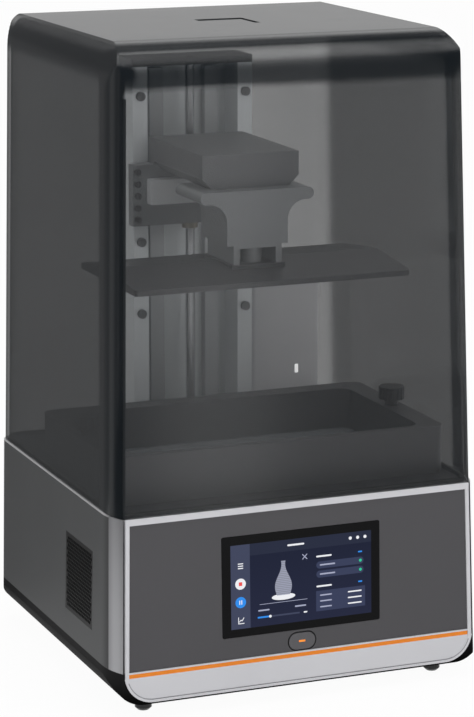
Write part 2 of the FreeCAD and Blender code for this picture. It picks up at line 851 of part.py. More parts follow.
def make_screen():
    """Cover glass of the touch screen and the display module behind it."""
    glass = leaning_body("screen_glass")
    low, high = up(GLASS_LOW), up(GLASS_TOP)
    face, back = "glass_inset", "(glass_inset + glass_thickness)"
    pad(glass, "XZ_Plane", face, back, rounded("-glass_half", "glass_half", low, high, "glass_radius"))
    keep(glass, "screen_glass")
    display = leaning_body("touch_display")
    wide = "(screen_half + display_margin)"
    tall_low = f"({up(SCREEN_LOW)} - display_margin)"
    tall_high = f"({up(SCREEN_TOP)} + display_margin)"
    pad(
        display, "XZ_Plane", PANEL_BACK, f"({PANEL_BACK} + display_thickness)",
        rectangle(f"-{wide}", wide, tall_low, tall_high),
    )
    inner = "(screen_half - slip_gap)"
    pad(
        display, "XZ_Plane", back, PANEL_BACK,
        rectangle(
            f"-{inner}", inner, f"{up(SCREEN_LOW)} + slip_gap",
            f"{up(SCREEN_TOP)} - slip_gap",
        ),
    )
    keep(display, "touch_display")


def make_button():
    """Pill-shaped power button with a lip behind the panel, its orange mark and its switch board."""
    middle = up(BUTTON_Z)
    button = leaning_body("power_button")
    pad(button, "XZ_Plane", BUTTON_FACE, BUTTON_LIP, pill("button_half", middle, "button_radius"))
    lip = pill("(button_half + button_lip)", middle, "(button_radius + button_lip)")
    pad(button, "XZ_Plane", BUTTON_LIP, BUTTON_BACK, lip)
    wide, tall = "(mark_half + run_gap)", "(mark_half_height + run_gap)"
    slot = rectangle(f"-{wide}", wide, f"{middle} - {tall}", f"{middle} + {tall}")
    pocket(button, "XZ_Plane", BUTTON_FACE, f"{BUTTON_FACE} + mark_depth", slot)
    keep(button, "power_button")
    mark = leaning_body("button_mark")
    low, high = f"{middle} - mark_half_height", f"{middle} + mark_half_height"
    bar = rectangle("-mark_half", "mark_half", low, high)
    pad(mark, "XZ_Plane", BUTTON_FACE, f"{BUTTON_FACE} + mark_depth", bar)
    keep(mark, "button_mark")
    switch = leaning_body("button_switch")
    low, high = f"{middle} - switch_board_rise", f"{middle} + switch_board_rise"
    board = rectangle("-switch_board_half", "switch_board_half", low, high)
    pad(switch, "XZ_Plane", SWITCH_BOARD, f"{SWITCH_BOARD} + board_thickness", board)
    half = "(switch_body/2)"
    cap = rectangle(f"-{half}", half, f"{middle} - {half}", f"{middle} + {half}")
    pad(switch, "XZ_Plane", SWITCH_FACE, SWITCH_BOARD, cap)
    keep(switch, "button_switch")


def about_plate(half_x, half_y):
    """A rectangle centred under the build plate."""
    return rectangle(f"-({half_x})", half_x, f"plate_y - ({half_y})", f"plate_y + ({half_y})")


def make_deck():
    """Deck plate between base and chamber, with the seal that locates the hood."""
    deck = new_body("deck_plate")
    rim = plan("joint_height", "shell_wall + slip_gap", "bay_depth + run_gap")
    window = about_plate(f"{LCD_HALF_X} + lcd_flange", f"{LCD_HALF_Y} + lcd_flange")
    pad(deck, "XY_Plane", DECK_LOW, "joint_height", rim, window)
    shank = "(knob_shank_radius + clear_gap)"
    holes = [(f"-{KNOB_X}", KNOB_Y, shank), (KNOB_X, KNOB_Y, shank), ("0", "screw_y", "screw_hole_radius")]
    pocket(deck, "XY_Plane", DECK_LOW, "joint_height", *holes)
    keep(deck, "deck_plate")
    seal = new_body("hood_seal")
    outside = "(hood_step + hood_wall + clear_gap)"
    inside = f"({outside} + seal_width)"
    pad(
        seal, "XY_Plane", "joint_height", "joint_height + seal_height",
        plan("(joint_height + seal_height)", outside), plan("(joint_height + seal_height)", inside),
    )
    keep(seal, "hood_seal")


def make_exposure_unit():
    """Exposure LCD on its frame, and below it the light box, lens plate, LED board and heat sink."""
    seat = "(joint_height + lcd_step)"
    frame = new_body("lcd_frame")
    edge_x, edge_y = f"{LCD_HALF_X} + lcd_flange - slip_gap", f"{LCD_HALF_Y} + lcd_flange - slip_gap"
    opening = about_plate("exposure_half_x", "exposure_half_y")
    pad(frame, "XY_Plane", DECK_LOW, "joint_height", about_plate(edge_x, edge_y), opening)
    pad(frame, "XY_Plane", "joint_height", seat, about_plate(LCD_HALF_X, LCD_HALF_Y), opening)
    keep(frame, "lcd_frame")
    panel = new_body("exposure_lcd")
    pad(panel, "XY_Plane", seat, f"{seat} + lcd_thickness", about_plate(LCD_HALF_X, LCD_HALF_Y))
    keep(panel, "exposure_lcd")

    funnel = new_body("light_box")
    shelf = f"({DECK_LOW} - box_flange_thickness)"
    top_x, top_y = "(exposure_half_x + box_wall)", "(exposure_half_y + box_wall)"
    flange = about_plate(f"{LCD_HALF_X} + box_flange", f"{LCD_HALF_Y} + box_flange")
    pad(funnel, "XY_Plane", shelf, DECK_LOW, flange)
    loft(
        funnel, "Additive", BOX_LOW, about_plate("box_low_half_x", "box_low_half_y"),
        shelf, about_plate(top_x, top_y),
    )
    throat = about_plate("box_low_half_x - box_wall", "box_low_half_y - box_wall")
    loft(funnel, "Subtractive", BOX_LOW, throat, DECK_LOW, opening)
    keep(funnel, "light_box")

    rise = f"(({LENS_LOW} - {BOX_LOW})/({DECK_LOW} - {BOX_LOW}))"
    throat_x, throat_y = "(box_low_half_x - box_wall)", "(box_low_half_y - box_wall)"
    inner_x = f"({throat_x} + (exposure_half_x - {throat_x})*{rise} - slip_gap)"
    inner_y = f"({throat_y} + (exposure_half_y - {throat_y})*{rise} - slip_gap)"
    lens = new_body("lens_plate")
    pad(lens, "XY_Plane", LENS_LOW, f"{LENS_LOW} + lens_thickness", about_plate(inner_x, inner_y))
    keep(lens, "lens_plate")

    board_low = f"({BOX_LOW} - led_board_thickness)"
    board = new_body("led_board")
    pad(board, "XY_Plane", board_low, BOX_LOW, about_plate("box_low_half_x", "box_low_half_y"))
    keep(board, "led_board")

    sink = new_body("heat_sink")
    base_low = f"({board_low} - sink_base)"
    pad(sink, "XY_Plane", base_low, board_low, about_plate("box_low_half_x", "box_low_half_y"))
    fin = pad(
        sink, "XY_Plane", SINK_LOW, base_low,
        rectangle(
            "-box_low_half_x", "sink_fin_thickness - box_low_half_x",
            "plate_y - box_low_half_y", "plate_y + box_low_half_y",
        ),
    )
    row = sink.newObject("PartDesign::LinearPattern", "sink_fins")
    row.Originals = [fin]
    row.Direction = (fin.Profile[0], ["H_Axis"])
    bind(row, "Length", "2*box_low_half_x - sink_fin_thickness")
    bind(row, "Occurrences", "sink_fin_count")
    sink.Tip = row
    keep(sink, "heat_sink")


def make_fan(name, size, thickness, place, axis, angle):
    """A square fan: a frame with four struts and a pin, and a rotor that runs on the pin."""
    frame = new_body(f"{name}_frame", *place, axis, angle)
    half = f"({size}/2)"
    bore = f"({half} - fan_rim)"
    square = rounded(f"-{half}", half, f"-{half}", half, "fan_corner")
    pad(frame, "XY_Plane", "0", thickness, square, ("0", "0", bore))
    rib = "(fan_strut_width/2)"
    reach = f"({half} - fan_rim/2)"
    for wide, tall in ((reach, rib), (rib, reach)):
        strut = rectangle(f"-{wide}", wide, f"-{tall}", tall)
        pad(frame, "XY_Plane", "0", "fan_strut_thickness", strut)
    pad(frame, "XY_Plane", "0", "fan_strut_thickness", ("0", "0", "fan_hub_radius"))
    pad(frame, "XY_Plane", "fan_strut_thickness", f"{thickness}/2", ("0", "0", "fan_pin_radius"))
    keep(frame, f"{name}_frame")

    rotor = new_body(f"{name}_rotor", *place, axis, angle)
    low, high = "(fan_strut_thickness + fan_float)", f"({thickness} - fan_strut_thickness)"
    pad(rotor, "XY_Plane", low, high, ("0", "0", "fan_hub_radius"))
    tip = f"({bore} - fan_tip_gap)"

    def blade_at(turn):
        """A thin radial strip turned about the axis."""
        corners = []
        for along, across in (("fan_blade_root", -1), (tip, -1), (tip, 1), ("fan_blade_root", 1)):
            wide = f"({across}*fan_blade_thickness/2)"
            corners.append(
                (f"{along}*cos({turn}) - {wide}*sin({turn})", f"{along}*sin({turn}) + {wide}*cos({turn})")
            )
        return corners

    blade = loft(rotor, "Additive", low, blade_at("-fan_blade_sweep"), high, blade_at("fan_blade_sweep"))
    ring = rotor.newObject("PartDesign::PolarPattern", f"{name}_blades")
    ring.Originals = [blade]
    ring.Axis = (blade.Profile[0], ["N_Axis"])
    ring.Angle = 360
    bind(ring, "Occurrences", "fan_blade_count")
    rotor.Tip = ring
    pocket(rotor, "XY_Plane", low, f"{thickness}/2 + fan_float", ("0", "0", "fan_pin_radius + run_gap"))
    keep(rotor, f"{name}_rotor")


def make_fans():
    """Vent fan behind the honeycomb, cooling fan under the heat sink, purifier fan in the rear box."""
    inside = f"(-{half_width(f'({VENT_Z} + vent_half)')} + shell_wall + slip_gap)"
    make_fan(
        "vent_fan", "vent_fan_size", "vent_fan_thickness",
        (inside, "vent_y", VENT_Z), (0, 1, 0), "90",
    )
    make_fan(
        "cooling_fan", "cooling_fan_size", "cooling_fan_thickness",
        ("0", "plate_y", FAN_LOW), (0, 0, 1), "0",
    )
    make_fan(
        "purifier_fan", "purifier_fan_size", "purifier_fan_thickness",
        (PURIFIER_X, "purifier_front + purifier_wall", "joint_height + purifier_fan_rise"),
        (-1, 0, 0), "90",
    )


def make_purifier():
    """Grey air-purifier box, open to the rear, with a filter block and a lit slit."""
    left, right = "purifier_left", "(purifier_left + purifier_width)"
    front, rear = "purifier_front", "(purifier_front + purifier_depth)"
    housing = new_body("purifier_housing")
    front_edges = [
        (left, rear),
        (left, f"{front} + purifier_edge", "purifier_edge"),
        (f"{left} + purifier_edge", front),
        (f"{right} - purifier_edge", front, "purifier_edge"),
        (right, f"{front} + purifier_edge"),
        (right, rear),
    ]
    pad(housing, "XY_Plane", "joint_height", "joint_height + purifier_height", front_edges)
    cavity = rectangle(
        f"{left} + purifier_wall", f"{right} - purifier_wall", "joint_height + purifier_wall",
        "joint_height + purifier_height - purifier_wall",
    )
    pocket(housing, "XZ_Plane", f"{front} + purifier_wall", f"{rear} + purifier_wall", cavity)
    lamp_z = "(joint_height + lamp_rise)"
    wide, tall = "(lamp_half + run_gap)", "(lamp_half_height + run_gap)"
    slit = rectangle(f"lamp_x - {wide}", f"lamp_x + {wide}", f"{lamp_z} - {tall}", f"{lamp_z} + {tall}")
    pocket(housing, "XZ_Plane", f"{front} - purifier_wall", f"{front} + purifier_wall", slit)
    keep(housing, "purifier_housing")
    block = box(
        "purifier_filter", (f"{left} + purifier_wall + slip_gap", f"{right} - purifier_wall - slip_gap"),
        (f"{front} + purifier_wall", f"{front} + purifier_wall + filter_depth"),
        ("joint_height + filter_rise", "joint_height + filter_rise + filter_height"),
    )
    keep(block, "purifier_filter")
    lamp = box(
        "purifier_lamp", ("lamp_x - lamp_half", "lamp_x + lamp_half"),
        (f"{front} - slip_gap", f"{front} + purifier_wall"),
        (f"{lamp_z} - lamp_half_height", f"{lamp_z} + lamp_half_height"),
    )
    keep(lamp, "purifier_lamp")


def rounded_about_plate(half_x, half_y, radius):
    """A round-cornered rectangle centred under the build plate."""
    front, back = f"(plate_y - ({half_y}))", f"(plate_y + ({half_y}))"
    return rounded(f"(-({half_x}))", f"({half_x})", front, back, radius)


def make_vat():
    """Resin vat with its pool, the release film under the pool and the frame that clamps the film."""
    vat = new_body("vat_body")
    pool = rounded_about_plate(POOL_X, POOL_Y, "pool_radius")
    shank = "(knob_shank_radius + clear_gap)"
    holes = [(f"-{KNOB_X}", KNOB_Y, shank), (KNOB_X, KNOB_Y, shank)]
    front, back = f"(plate_y - {POOL_Y} - vat_front_wall)", f"(plate_y + {POOL_Y} + vat_back_wall)"
    walls = rounded(f"(-{VAT_HALF})", VAT_HALF, front, back, "vat_radius")
    pad(vat, "XY_Plane", "joint_height", VAT_TOP, walls, pool, *holes)
    seat_x, seat_y = f"{POOL_X} + film_frame_margin", f"{POOL_Y} + film_frame_margin"
    seat = rounded_about_plate(seat_x, seat_y, "pool_radius")
    pocket(vat, "XY_Plane", "joint_height", f"{FILM_LOW} + film_thickness", seat)
    keep(vat, "vat_body")
    edge = rounded_about_plate(f"{seat_x} - slip_gap", f"{seat_y} - slip_gap", "pool_radius")
    film = new_body("release_film")
    pad(film, "XY_Plane", FILM_LOW, f"{FILM_LOW} + film_thickness", edge)
    keep(film, "release_film")
    clamp = new_body("film_frame")
    pad(clamp, "XY_Plane", "joint_height + slip_gap", FILM_LOW, edge, pool)
    keep(clamp, "film_frame")


def make_thumbscrews():
    """Two fluted thumbscrews that hold the vat down to the deck."""
    for side, name in (("-", "thumbscrew_left"), ("", "thumbscrew_right")):
        knob = new_body(name, f"{side}{KNOB_X}", KNOB_Y, VAT_TOP)
        pad(knob, "XY_Plane", "-vat_height - knob_reach", "0", ("0", "0", "knob_shank_radius"))
        pad(knob, "XY_Plane", "0", "knob_stem_height", ("0", "0", "knob_stem_radius"))
        top = "(knob_stem_height + knob_height)"
        pad(knob, "XY_Plane", "knob_stem_height", top, ("0", "0", "knob_radius"))
        flute = pocket(knob, "XY_Plane", "knob_stem_height", top, ("knob_radius", "0", "knob_flute_radius"))
        ring = knob.newObject("PartDesign::PolarPattern", f"{name}_flutes")
        ring.Originals = [flute]
        ring.Axis = (flute.Profile[0], ["N_Axis"])
        ring.Angle = 360
        bind(ring, "Occurrences", "knob_flute_count")
        knob.Tip = ring
        keep(knob, name)


def make_tower():
    """Tower channel open to the front, its cap with the upper bush, two rails and the flange screws."""
    channel = new_body("tower_channel")
    inner = "(tower_half - flange_width)"
    section = [
        ("-tower_half", "tower_front"),
        (f"-{inner}", "tower_front"),
        (f"-{inner}", WEB_FACE),
        (inner, WEB_FACE),
        (inner, "tower_front"),
        ("tower_half", "tower_front"),
        ("tower_half", TOWER_BACK),
        ("-tower_half", TOWER_BACK),
    ]
    pad(channel, "XY_Plane", "joint_height", CAP_LOW, section)
    flange_x = "(tower_half - flange_width/2)"
    rises = ("tower_screw_top", "tower_screw_middle", "tower_screw_low")
    spots = [(f"{side}{flange_x}", f"(joint_height + {rise})") for side in ("-", "") for rise in rises]
    reach = "(tower_front + tower_screw_reach)"
    holes = [(x, z, "tower_screw_radius + run_gap") for x, z in spots]
    pocket(channel, "XZ_Plane", "tower_front", reach, *holes)
    keep(channel, "tower_channel")

    cap = new_body("tower_cap")
    bush = ("0", "screw_y", "screw_radius + run_gap")
    lid = rectangle("-tower_half", "tower_half", "tower_front", TOWER_BACK)
    pad(cap, "XY_Plane", CAP_LOW, TOWER_TOP, lid, bush)
    keep(cap, "tower_cap")

    rails = []
    for side in ("-", ""):
        middle = f"({side}rail_x)"
        rails.append(box(
            "rail", (f"{middle} - rail_width/2", f"{middle} + rail_width/2"),
            (f"{WEB_FACE} - rail_depth", WEB_FACE),
            ("joint_height + rail_end_gap", f"{CAP_LOW} - rail_end_gap"),
        ))
    keep(group("rails", *rails), "rails")

    screws = []
    for x, z in spots:
        head_y = "tower_front - tower_screw_head_height"
        head = rod("tower_screw_cap", x, head_y, z, "tower_screw_head", "tower_screw_head_height", "y")
        stem = ("tower_screw_radius", "tower_screw_reach")
        shank = rod("tower_screw_shank", x, "tower_front", z, *stem, "y")
        screws.append(fuse("tower_screw", head, shank))
    keep(group("tower_screws", *screws), "tower_screws")


def make_lift():
    """Motor with its lead screw, and the carriage that the screw lifts along the rails."""
    motor = new_body("z_motor")
    half = "(motor_width/2)"
    corner = f"({half} - motor_chamfer)"
    octagon = [
        (f"-{corner}", f"screw_y - {half}"),
        (corner, f"screw_y - {half}"),
        (half, f"screw_y - {corner}"),
        (half, f"screw_y + {corner}"),
        (corner, f"screw_y + {half}"),
        (f"-{corner}", f"screw_y + {half}"),
        (f"-{half}", f"screw_y + {corner}"),
        (f"-{half}", f"screw_y - {corner}"),
    ]
    motor_low = f"({DECK_LOW} - motor_height)"
    pad(motor, "XY_Plane", motor_low, DECK_LOW, octagon, ("0", "screw_y", "screw_radius + run_gap"))
    keep(motor, "z_motor")
    screw_length = f"({TOWER_TOP} - cap_thickness/2) - ({motor_low} + motor_chamfer)"
    screw = rod("lead_screw", "0", "screw_y", f"{motor_low} + motor_chamfer", "screw_radius", screw_length)
    keep(screw, "lead_screw")

    block = new_body("carriage_block")
    sides = rectangle("-carriage_block_half", "carriage_block_half", CARRIAGE_BACK, BLOCK_FACE)
    pad(block, "XY_Plane", BLOCK_LOW, BLOCK_TOP, sides, ("0", "screw_y", "screw_radius + screw_hole_gap"))
    keep(block, "carriage_block")
    nut = new_body("lead_nut")
    bore = ("0", "screw_y", "screw_radius + clear_gap")
    collar = f"({BLOCK_LOW} - nut_flange_height)"
    pad(nut, "XY_Plane", collar, BLOCK_LOW, ("0", "screw_y", "nut_flange_radius"), bore)
    barrel = ("0", "screw_y", "nut_barrel_radius")
    pad(nut, "XY_Plane", f"{collar} - nut_barrel_height", collar, barrel, bore)
    keep(nut, "lead_nut")

    runners = []
    for side in ("-", ""):
        runner = new_body("rail_block", f"{side}rail_x")
        groove = "(rail_width/2 + clear_gap)"
        floor = f"({WEB_FACE} - rail_depth - clear_gap)"
        edge, back = "(block_width/2)", f"({BLOCK_FACE} + block_depth)"
        section = [
            (f"-{edge}", BLOCK_FACE),
            (edge, BLOCK_FACE),
            (edge, back),
            (groove, back),
            (groove, floor),
            (f"-{groove}", floor),
            (f"-{groove}", back),
            (f"-{edge}", back),
        ]
        pad(runner, "XY_Plane", BLOCK_LOW, BLOCK_TOP, section)
        runners.append(runner)
    keep(group("rail_blocks", *runners), "rail_blocks")

    plate = new_body("carriage_plate")
    face = rectangle("-carriage_half", "carriage_half", CARRIAGE_LOW, CARRIAGE_TOP)
    pad(plate, "XZ_Plane", "carriage_front", CARRIAGE_BACK, face)
    places = range(SIZES["bolt_count"])
    rows = [f"({CARRIAGE_MIDDLE} + bolt_pitch*({place} - (bolt_count - 1)/2))" for place in places]
    spots = [(f"{side}bolt_x", row) for side in ("-", "") for row in rows]
    holes = [(x, z, "bolt_radius + run_gap") for x, z in spots]
    pocket(plate, "XZ_Plane", "carriage_front", "carriage_front + bolt_reach", *holes)
    keep(plate, "carriage_plate")
    bolts = []
    for x, z in spots:
        head_y = "carriage_front - bolt_head_height"
        head = rod("bolt_head", x, head_y, z, "bolt_head_radius", "bolt_head_height", "y")
        shank = rod("bolt_shank", x, "carriage_front", z, "bolt_radius", "bolt_reach", "y")
        bolts.append(fuse("bolt", head, shank))
    keep(group("carriage_bolts", *bolts), "carriage_bolts")
    bar = box(
        "arm_bar", ("-bar_half", "bar_half"), ("carriage_front - bar_depth", "carriage_front"),
        (f"{CARRIAGE_LOW} + bar_rise", f"{CARRIAGE_LOW} + bar_rise + bar_height"),
    )
    keep(bar, "arm_bar")


def make_arm():
    """Cantilever arm, the coved bracket under it, the open neck and the bright ball in the neck."""
    arm = new_body("arm")
    chamfer_x, chamfer_z = "(arm_half - arm_chamfer)", f"({ARM_LOW} + arm_chamfer)"
    section = [
        (f"-{chamfer_x}", ARM_LOW),
        (chamfer_x, ARM_LOW),
        ("arm_half", chamfer_z),
        ("arm_half", ARM_TOP),
        ("-arm_half", ARM_TOP),
        ("-arm_half", chamfer_z),
    ]
    pad(arm, "XZ_Plane", "plate_y - arm_reach", "carriage_front", section)
    heel = rectangle("-arm_half", "arm_half", CARRIAGE_TOP, ARM_TOP)
    pad(arm, "XZ_Plane", "carriage_front", CARRIAGE_BACK, heel)
    keep(arm, "arm")

    bracket = new_body("platform_bracket")
    low, ledge = NECK_TOP, f"({ARM_LOW} - bracket_flange)"
    cove_x, tip = "(bracket_half + bracket_cove)", "(bracket_flange/2)"
    tip_x = f"(bracket_flange_half - {tip})"
    right = [
        ("bracket_half", low),
        ("bracket_half", f"{ledge} - bracket_cove", "bracket_cove", -1),
        (cove_x, ledge),
        (tip_x, ledge, tip),
        ("bracket_flange_half", f"{ledge} + {tip}", tip),
        (tip_x, ARM_LOW),
    ]
    left = [
        (f"-{tip_x}", ARM_LOW, tip),
        ("-bracket_flange_half", f"{ledge} + {tip}", tip),
        (f"-{tip_x}", ledge),
        (f"-{cove_x}", ledge, "bracket_cove", -1),
        ("-bracket_half", f"{ledge} - bracket_cove"),
        ("-bracket_half", low),
    ]
    pad(bracket, "XZ_Plane", BRACKET_FRONT, BRACKET_BACK, right + left)
    keep(bracket, "platform_bracket")

    neck = new_body("platform_neck")
    pad(neck, "XZ_Plane", BRACKET_FRONT, BRACKET_BACK, rectangle("-neck_half", "neck_half", NECK_LOW, low))
    room, ceiling = "(neck_half - neck_wall)", f"({low} - neck_wall/2)"
    mouth = rectangle(f"-{room}", room, NECK_LOW, ceiling)
    pocket(neck, "XZ_Plane", BRACKET_FRONT, f"{BRACKET_FRONT} + neck_depth", mouth)
    keep(neck, "platform_neck")
    ball_y = f"({BRACKET_FRONT} + neck_depth/2)"
    ball = rod("leveling_ball", "0", ball_y, NECK_LOW, "ball_radius", f"{ceiling} - {NECK_LOW}")
    keep(ball, "leveling_ball")


def make_build_plate():
    """Build plate with a flat underside, a gabled top and a flat seat for the neck."""
    plate = new_body("build_plate")
    eaves = "(platform_low + platform_edge)"
    half, depth_half = "(exposure_half_x + platform_margin_x)", "(exposure_half_y + platform_margin_y)"
    front, back = f"(plate_y - {depth_half})", f"(plate_y + {depth_half})"
    gable = [
        (front, "platform_low"),
        (back, "platform_low"),
        (back, eaves),
        ("plate_y", f"{eaves} + platform_roof"),
        (front, eaves),
    ]
    pad(plate, "YZ_Plane", f"-{half}", half, gable)
    corners = rounded(f"(-{half})", half, front, back, "platform_corner")
    skirt = rectangle(
        f"-{half} - platform_corner", f"{half} + platform_corner",
        f"{front} - platform_corner", f"{back} + platform_corner",
    )
    pocket(plate, "XY_Plane", "platform_low", f"{eaves} + platform_roof", skirt, corners)
    seat = rectangle(
        "-neck_half - platform_pad_margin", "neck_half + platform_pad_margin",
        f"{BRACKET_FRONT} - platform_pad_margin", f"{BRACKET_BACK} + platform_pad_margin",
    )
    pad(plate, "XY_Plane", eaves, NECK_LOW, seat)
    keep(plate, "build_plate")


def make_hood_form(name, inset, low):
    """The hood's outer or inner form: tapered plan, round brow, round crown and arced shoulders."""
    body = new_body(name)
    skin = f"(hood_step + {inset})"
    top = f"(total_height - {inset})"
    loft(body, "Additive", low, plan(low, skin), top, plan(top, skin))
    over, wide = "(total_height + hood_wall)", "(side_half + corner_radius)"

    start = "(total_height - shoulder_rise)"
    arc = f"(shoulder_radius - {inset})"
    centre = f"({half_width(start)} - hood_step - shoulder_radius)"
    crease = f"({centre} + sqrt({arc}^2 - ({top} - {start})^2))"
    right = [
        (f"{centre} + {arc}", start, arc),
        (crease, top),
        (crease, over),
        (wide, over),
        (wide, start),
    ]
    left = [
        (f"-{crease}", top, arc),
        (f"-{centre} - {arc}", start),
        (f"-{wide}", start),
        (f"-{wide}", over),
        (f"-{crease}", over),
    ]
    pocket(body, "XZ_Plane", "-depth", "depth", right, left)

    brow, brow_arc = "(total_height - brow_radius)", f"(brow_radius - {inset})"
    brow_y = f"({front_line(brow)} + hood_step + brow_radius)"
    crown, crown_arc = "(total_height - crown_radius)", f"(crown_radius - {inset})"
    crown_y = f"({BACK} - hood_step - crown_radius)"
    front_cut = [
        (brow_y, f"{brow} + {brow_arc}", brow_arc),
        (f"{brow_y} - {brow_arc}", brow),
        ("-depth", brow),
        ("-depth", over),
        (brow_y, over),
    ]
    back_cut = [
        (f"{crown_y} + {crown_arc}", crown, crown_arc),
        (crown_y, f"{crown} + {crown_arc}"),
        (crown_y, over),
        ("depth", over),
        ("depth", crown),
    ]
    pocket(body, "YZ_Plane", f"-{wide}", wide, front_cut, back_cut)
    return body


def make_hood():
    """Smoked hood of one wall thickness with a shallow square recess in its top."""
    outer = make_hood_form("hood_outer", "0", "joint_height")
    recess = rectangle("-recess_half", "recess_half", "recess_y - recess_half", "recess_y + recess_half")
    pocket(outer, "XY_Plane", "total_height - recess_depth", "total_height", recess)
    inner = make_hood_form("hood_inner", "hood_wall", "joint_height - hood_wall")
    keep(cut("hood_shell", outer, inner), "hood_shell")


def make_rear_panel():
    """Rear panel behind the shell's window, with openings for the inlet, the switch and the USB port."""
    panel = new_body("rear_panel")
    low, high = f"{REAR_LOW} - rear_overlap", f"{REAR_TOP} + rear_overlap"
    sheet_outline = rectangle("-rear_half - rear_overlap", "rear_half + rear_overlap", low, high)
    openings = []
    for middle, half, tall in PORTS:
        openings.append(port_loop(middle, half, tall, "slip_gap"))
    pad(panel, "XZ_Plane", f"{REAR_FACE} - rear_thickness", REAR_FACE, sheet_outline, *openings)
    keep(panel, "rear_panel")


def port_loop(middle, half, tall, grow="0"):
    """A rectangle about a port's middle on the rear panel."""
    return rectangle(
        f"{middle} - {half} - ({grow})", f"{middle} + {half} + ({grow})",
        f"{PORT_Z} - {tall} - ({grow})", f"{PORT_Z} + {tall} + ({grow})",
    )


def make_rear_ports():
    """Power inlet with three pins, rocker switch in its frame, and the USB port."""
    inlet = new_body("power_inlet")
    deep = f"({REAR_FACE} - inlet_depth)"
    lip = f"({REAR_FACE} + inlet_lip_thickness)"
    socket_size = ("inlet_x", "inlet_half", "inlet_half_height")
    pad(inlet, "XZ_Plane", deep, REAR_FACE, port_loop(*socket_size))
    pad(inlet, "XZ_Plane", REAR_FACE, lip, port_loop(*socket_size, "inlet_lip"))
    floor = f"({lip} - inlet_socket)"
    pocket(inlet, "XZ_Plane", floor, lip, port_loop(*socket_size, "-inlet_wall"))
    pins = []
    for place in (-1, 0, 1):
        pins.append(port_loop(f"inlet_x + inlet_pin_pitch*{place}", "inlet_pin", "inlet_pin_height/2"))
    pad(inlet, "XZ_Plane", floor, f"{floor} + inlet_pin_length", *pins)
    keep(inlet, "power_inlet")

    frame = new_body("switch_frame")
    switch_size = ("rocker_x", ROCKER_OUT, ROCKER_TALL)
    pad(frame, "XZ_Plane", f"{REAR_FACE} - rocker_depth", REAR_FACE, port_loop(*switch_size))
    pad(frame, "XZ_Plane", REAR_FACE, lip, port_loop(*switch_size, "rocker_lip"))
    well = port_loop("rocker_x", "(rocker_half + clear_gap)", "(rocker_radius + clear_gap)")
    pocket(frame, "XZ_Plane", f"{REAR_FACE} - rocker_depth + rocker_wall", lip, well)
    keep(frame, "switch_frame")
    rocker = new_body("rocker", "rocker_x", f"{REAR_FACE} - rocker_sink", PORT_Z, (1, 0, 0), "rocker_tilt")
    paddle = [
        ("0", "rocker_radius", "rocker_radius"),
        ("-rocker_radius", "0", "rocker_radius"),
        ("0", "-rocker_radius"),
        ("rocker_sink + inlet_lip_thickness/2", "-rocker_tip"),
        ("rocker_sink/2", "0"),
        ("rocker_sink + inlet_lip_thickness/2", "rocker_tip"),
    ]
    pad(rocker, "YZ_Plane", "-rocker_half", "rocker_half", paddle)
    keep(rocker, "rocker")

    port = new_body("usb_port")
    rear = f"({REAR_FACE} - usb_depth)"
    port_size = ("usb_x", "usb_half", "usb_half_height")
    pad(port, "XZ_Plane", rear, f"{REAR_FACE} + usb_wall", port_loop(*port_size))
    hole = port_loop(*port_size, "-usb_wall")
    pocket(port, "XZ_Plane", f"{rear} + usb_wall", f"{REAR_FACE} + usb_wall", hole)
    tongue = rectangle(
        "usb_x - usb_half + 2*usb_wall", "usb_x + usb_half - 2*usb_wall",
        PORT_Z, f"{PORT_Z} + usb_tongue",
    )
    pad(port, "XZ_Plane", f"{rear} + usb_wall", REAR_FACE, tongue)
    keep(port, "usb_port")


def make_electronics():
    """Power supply on the tray's floor and the main board on its posts."""
    floor = "(foot_height + tray_wall)"
    supply = box(
        "power_supply", ("supply_left", "supply_left + supply_width"),
        ("supply_front", "supply_front + supply_depth"), (floor, f"{floor} + supply_height"),
    )
    keep(supply, "power_supply")
    low = f"({floor} + post_height)"
    sheet_part = box(
        "board_sheet", ("board_left", "board_left + board_width"),
        ("board_front", "board_front + board_depth"), (low, f"{low} + board_thickness"),
    )
    middle_x, middle_y = "(board_left + board_width/2)", "(board_front + board_depth/2)"
    chip = box(
        "board_chip", (f"{middle_x} - chip_half", f"{middle_x} + chip_half"),
        (f"{middle_y} - chip_half", f"{middle_y} + chip_half"),
        (f"{low} + board_thickness", f"{low} + board_thickness + chip_height"),
    )
    keep(fuse("main_board", sheet_part, chip), "main_board")


def make_feet():
    """Four round feet with a chamfered lower edge, each with a ramp towards the middle of the tray."""
    feet = []
    for side_x in ("-", ""):
        for side_y, inwards in (("-", ""), ("", "-")):
            place = (f"{side_x}foot_x", f"{side_y}foot_y")
            tip = doc.addObject("Part::Cone", "foot_tip")
            bind(tip, "Radius1", "foot_radius - foot_chamfer")
            bind(tip, "Radius2", "foot_radius")
            bind(tip, "Height", "foot_chamfer")
            bind(tip, "Placement.Base.x", place[0])
            bind(tip, "Placement.Base.y", place[1])
            barrel = rod("foot_barrel", *place, "foot_chamfer", "foot_radius", "foot_height - foot_chamfer")
            ramp = new_body("foot_slope", *place)
            pad(
                ramp, "YZ_Plane", "-foot_ramp_half", "foot_ramp_half",
                [("0", "foot_chamfer"), (f"{inwards}foot_ramp", "foot_height"), ("0", "foot_height")],
            )
            feet.append(fuse("foot", tip, barrel, ramp))
    keep(group("feet", *feet), "feet")


make_bottom_tray()
front_columns = make_base_shell()
make_vent_grille()
make_front_trim(front_columns)
make_front_panel()
make_screen()
make_button()
make_deck()
make_exposure_unit()
make_fans()
make_purifier()
make_vat()
make_thumbscrews()
make_tower()
make_lift()
make_arm()
make_build_plate()
make_hood()
make_rear_panel()
make_rear_ports()
make_electronics()
make_feet()
doc.recompute()

